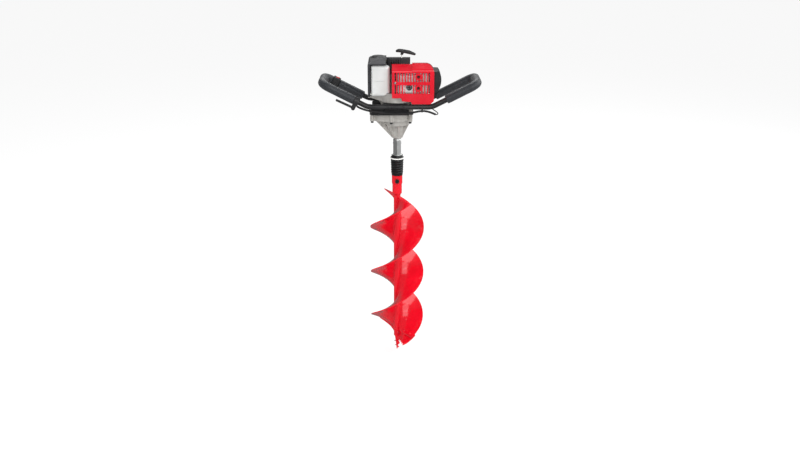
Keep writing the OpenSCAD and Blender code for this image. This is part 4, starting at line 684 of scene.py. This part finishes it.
def corrugation(length, angle):
    """Radius of a ribbed sheath."""
    pitch = 2.6 * MM
    return (LOOM_R - 0.35 + 0.35 * math.cos(2 * math.pi * length / pitch)) * MM


def cable_tie(name, x, loom_y, loom_z):
    """Strap drawn tight round the rail and the sheath, with its lock."""
    centres = [(-RAIL_Y, RAIL_Z, RAIL_R), (loom_y, RAIL_Z + loom_z, LOOM_R)]
    ring = []
    turns = 72
    for k in range(turns):
        a = 2 * math.pi * k / turns
        way = (math.cos(a), math.sin(a))
        best = max(centres, key=lambda c: c[0] * way[0] + c[1] * way[1] + c[2])
        ring.append((best[0] + best[2] * way[0], best[1] + best[2] * way[1], way))
    width, thick = 2.4, 1.1
    section = ((-width, 0.05), (-width, thick), (width, thick), (width, 0.05))
    rings = [[mm(x + dx, y + way[0] * h, z + way[1] * h) for dx, h in section] for y, z, way in ring]
    strap = loft(rings, closed=True)
    lock_y = -RAIL_Y - RAIL_R - 1.4
    lock = lathe([(2.6 * MM, 0), (3.2 * MM, 0.5 * MM), (3.2 * MM, 3.4 * MM), (2.4 * MM, 4 * MM)],
                 mm(x, lock_y + 1.2, RAIL_Z - 5), (0, -1, 0), 4)
    piece(name, *join(strap, lock), "black_plastic", "machine", 30)


def cable(name, route, step, radius, replaces=()):
    """A cable along a route that is tied or held all the way."""
    line = resample(smooth_path(over_rail(route), 8), step * MM)
    cord = piece(name, *tube(line, radius, 16), "black_rubber", "machine", 60, replaces)


def cable_details():
    cable("control_loom", LOOM_ROUTE, 0.65, corrugation, ("control_cable",))
    cable("throttle_strand", STRAND_ROUTE, 2, STRAND_R * MM)
    for name, k in TIED.items():
        cable_tie(name, *LOOM_ROUTE[k])


cable_details()


# ---------------------------------------------------------------- starter

Z_ROPE = 1146.12
ROPE_AT = (16, -44)
ROPE_BEND = 6
ROPE_R = 2
ROPE_TOP = 1181.12
PULLEY_R = 26.3


def plait(length, angle):
    """Radius of a plaited rope: two sets of crossing strands."""
    twist = 2 * math.pi * length / (9 * MM)
    return (ROPE_R - 0.18 + 0.16 * max(math.cos(4 * angle + 4 * twist), math.cos(4 * angle - 4 * twist))) * MM


def starter_details():
    across = math.hypot(*ROPE_AT)
    a = math.atan2(ROPE_AT[1], ROPE_AT[0]) + math.acos(PULLEY_R / across)
    leave = Vector((PULLEY_R * math.cos(a), PULLEY_R * math.sin(a), 0))
    way = (Vector((*ROPE_AT, 0)) - leave).normalized()
    run = (Vector((*ROPE_AT, 0)) - leave).length - ROPE_BEND
    line = [leave + way * (run * i / 20) for i in range(21)]
    for i in range(1, 11):
        b = math.pi / 2 * i / 10
        point = leave + way * (run + ROPE_BEND * math.sin(b))
        line.append(point + Vector((0, 0, ROPE_BEND * (1 - math.cos(b)))))
    lead = [(p + Vector((0, 0, Z_ROPE))) * MM for p in line]
    piece("rope_run", *tube(resample(lead, 0.6 * MM), plait, 24), "rope", "machine", 80, ("rope_lead",))

    low, high = Z_ROPE + ROPE_BEND + 0.03, ROPE_TOP - 0.3
    rise = [mm(*ROPE_AT, low + (high - low) * i / 60) for i in range(61)]
    rope = piece("rope_pull", *tube(rise, plait, 24), "rope", "machine", 80, ("starter_rope",), ride=False)
    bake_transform(rope)


starter_details()


# ---------------------------------------------------------------- engine fasteners, mould lines and painted shade in the exhaust outlet

TANK_BODY_H = 110
TANK_CORNER_R = 12
TANK_SEAM_RIGHT_X = -44
COVER_SCREW_X = -7.3
COVER_SCREW_Z = 1091.12
RECOIL_SCREW_X = (-26, 34)
RECOIL_SCREW_RISE = 7
OUTLET_X = 42
OUTLET_Z = 1074.12
OUTLET_R = 10
OUTLET_BORE_R = 7
OUTLET_REACH = 3.9
OUTLET_CORE_D = 10
OUTLET_CORE_DEPTH = 1
# Thickness of the black lining that paints shade into the exhaust outlet
SHADE_LINING = 0.3


def tank_seam():
    """Flash line of the blow-moulded tank, round its front, left and back."""
    low, high = corners("fuel_tank")
    r = TANK_CORNER_R * MM
    z = low.z + TANK_BODY_H / 2 * MM
    points = [Vector((TANK_SEAM_RIGHT_X * MM, low.y, z)), Vector((low.x + r, low.y, z))]
    for i in range(1, 13):
        a = math.pi / 2 * i / 12
        points.append(Vector((low.x + r - r * math.sin(a), low.y + r - r * math.cos(a), z)))
    mirror = [Vector((p.x, low.y + high.y - p.y, p.z)) for p in reversed(points)]
    line = resample(points + mirror, 2 * MM)
    piece("tank_seam", *tube(line, 0.7 * MM, 8), "tank_plastic", "machine", 60)


def outlet_rim():
    """Painted shade: a black lining in the pipe of the exhaust outlet and a black dome in its mouth."""
    muffler_low, _ = corners("muffler")
    steps = 4
    points = []
    for i in range(steps + 1):
        y = muffler_low.y + (OUTLET_REACH * i / steps - SHADE_LINING) * MM
        points.append(Vector((OUTLET_X * MM, y, OUTLET_Z * MM)))
    shape = sleeve(points, lambda s: (OUTLET_R + SHADE_LINING) * MM, (OUTLET_BORE_R - SHADE_LINING) * MM, 48)
    # Black lining of the outlet's pipe, painted shade in the recess
    piece("outlet_rim", *shape, "black_steel", "machine", 40)
    # Black dome in the outlet's mouth, painted shade in the hole
    core = Vector((OUTLET_X * MM, muffler_low.y + OUTLET_CORE_DEPTH * MM, OUTLET_Z * MM))
    head = round_head(core, (0, -1, 0), OUTLET_CORE_D * MM, OUTLET_CORE_DEPTH * MM)
    piece("outlet_core", *head, "black_steel", "machine")


def engine_details():
    tank_seam()
    outlet_rim()
    filter_low, filter_high = corners("air_filter_box")
    knob = [
        (5 * MM, -0.2 * MM), (8 * MM, 0), (8.5 * MM, 1 * MM), (8.5 * MM, 4.4 * MM, "lobes"),
        (7.8 * MM, 5.6 * MM, "lobes"), (4.5 * MM, 6 * MM),
    ]
    middle = Vector(((filter_low.x + filter_high.x) / 2, filter_high.y, (filter_low.z + filter_high.z) / 2))
    piece("filter_knob", *lathe(knob, middle, (0, 1, 0), 48, lambda a: 1 + 0.06 * math.cos(8 * a)),
          "black_plastic", "machine", 50)

    cover_low, _ = corners("engine_cover")
    left_screw = Vector((COVER_SCREW_X * MM, cover_low.y, COVER_SCREW_Z * MM))
    piece("cover_screw_cap", *round_head(left_screw, (0, -1, 0), 9 * MM, 3.5 * MM), "zinc_steel", "machine")

    recoil_low, recoil_high = corners("recoil_housing")
    for k, x in enumerate(RECOIL_SCREW_X):
        place = Vector((x * MM, recoil_high.y, recoil_low.z + RECOIL_SCREW_RISE * MM))
        piece(f"recoil_screw_{k}", *hex_head(place, (0, 1, 0), 7 * MM, 4.5 * MM), "zinc_steel", "machine")


engine_details()


# ---------------------------------------------------------------- floor, light, camera

WHITE = (1, 1, 1, 1)
CAMERA_AT = (0, -3.0165, 1.6959)
CAMERA_DOWN = 19.5
CAMERA_LENS = 38.4
CAMERA_SHIFT = (0.0036, -0.031)
LIGHT_TARGET = (0, 0, 0.7)
# Name, place, size, power, and whether gloss mirrors it
LIGHTS = [
    ("key", (-1.9, -2.2, 2.9), (1.4, 1.4), 40, False),
    ("right_panel", (2.8, 0.6, 2.6), (3.6, 3.2), 70, True),
    ("corner_panel", (2.9, -2.9, 2.7), (3.6, 3.0), 55, True),
    ("front_panel", (0.6, -4.3, 2.6), (3.0, 2.6), 45, True),
    ("rim", (0, 2.4, 3.3), (2.4, 1.0), 45, True),
]


def shader_by_ray(tree, shaders):
    """Nests shaders so that each (ray, share, shader) after the first takes over for its kind of ray."""
    seen = tree.nodes.new("ShaderNodeLightPath")
    last = shaders[0][2]
    for ray, share, shader in shaders[1:]:
        part = tree.nodes.new("ShaderNodeMath")
        part.operation = "MULTIPLY"
        part.inputs[1].default_value = share
        mix = tree.nodes.new("ShaderNodeMixShader")
        tree.links.new(seen.outputs[ray], part.inputs[0])
        tree.links.new(part.outputs[0], mix.inputs[0])
        tree.links.new(last.outputs[0], mix.inputs[1])
        tree.links.new(shader.outputs[0], mix.inputs[2])
        last = mix
    return last


def shadow_floor():
    """White floor that keeps the object's shadow, darker in reflections, and runs out into the white world."""
    size = 30
    mesh = bpy.data.meshes.new("floor")
    mesh.from_pydata([(x, y, -0.0005) for x, y in ((-size, -size), (size, -size), (size, size), (-size, size))],
                     [], [(0, 1, 2, 3)])
    material = bpy.data.materials.new("floor")
    material.use_nodes = True
    tree = material.node_tree
    tree.nodes.clear()
    out = tree.nodes.new("ShaderNodeOutputMaterial")
    lit = tree.nodes.new("ShaderNodeBsdfDiffuse")
    lit.inputs["Color"].default_value = (0.94, 0.94, 0.94, 1)
    dim = tree.nodes.new("ShaderNodeBsdfDiffuse")
    dim.inputs["Color"].default_value = (0.12, 0.12, 0.12, 1)
    glow = tree.nodes.new("ShaderNodeEmission")
    glow.inputs["Color"].default_value = WHITE
    top = shader_by_ray(tree, [(None, 1, lit), ("Is Glossy Ray", 1.0, dim), ("Is Camera Ray", 0.74, glow)])
    tree.links.new(top.outputs[0], out.inputs["Surface"])
    mesh.materials.append(material)
    floor = bpy.data.objects.new("floor", mesh)
    bpy.context.scene.collection.objects.link(floor)


def white_world():
    """White to the camera, softer as light, and dim in reflections so that gloss keeps its colour."""
    world = bpy.data.worlds.new("studio")
    bpy.context.scene.world = world
    world.use_nodes = True
    tree = world.node_tree
    tree.nodes.clear()
    out = tree.nodes.new("ShaderNodeOutputWorld")
    skies = []
    for ray, strength in ((None, 0.8), ("Is Glossy Ray", 0.14), ("Is Camera Ray", 1.0)):
        sky = tree.nodes.new("ShaderNodeBackground")
        sky.inputs["Color"].default_value = WHITE
        sky.inputs["Strength"].default_value = strength
        skies.append((ray, 1.0, sky))
    tree.links.new(shader_by_ray(tree, skies).outputs[0], out.inputs["Surface"])


def area_light(name, place, size, power, mirrored):
    lamp = bpy.data.lights.new(name, "AREA")
    lamp.shape = "RECTANGLE"
    lamp.size, lamp.size_y = size
    lamp.energy = power
    obj = bpy.data.objects.new(name, lamp)
    obj.location = place
    obj.rotation_euler = (Vector(LIGHT_TARGET) - Vector(place)).to_track_quat("-Z", "Y").to_euler()
    obj.visible_glossy = mirrored
    bpy.context.scene.collection.objects.link(obj)


def studio():
    shadow_floor()
    white_world()
    for light in LIGHTS:
        area_light(*light)

    camera = bpy.data.cameras.new("photo_camera")
    camera.lens = CAMERA_LENS
    camera.sensor_width = 36
    camera.shift_x, camera.shift_y = CAMERA_SHIFT
    obj = bpy.data.objects.new("photo_camera", camera)
    obj.location = CAMERA_AT
    obj.rotation_euler = (math.radians(90 - CAMERA_DOWN), 0, 0)
    bpy.context.scene.collection.objects.link(obj)
    scene = bpy.context.scene
    scene.camera = obj
    scene.view_settings.view_transform = "Standard"


studio()
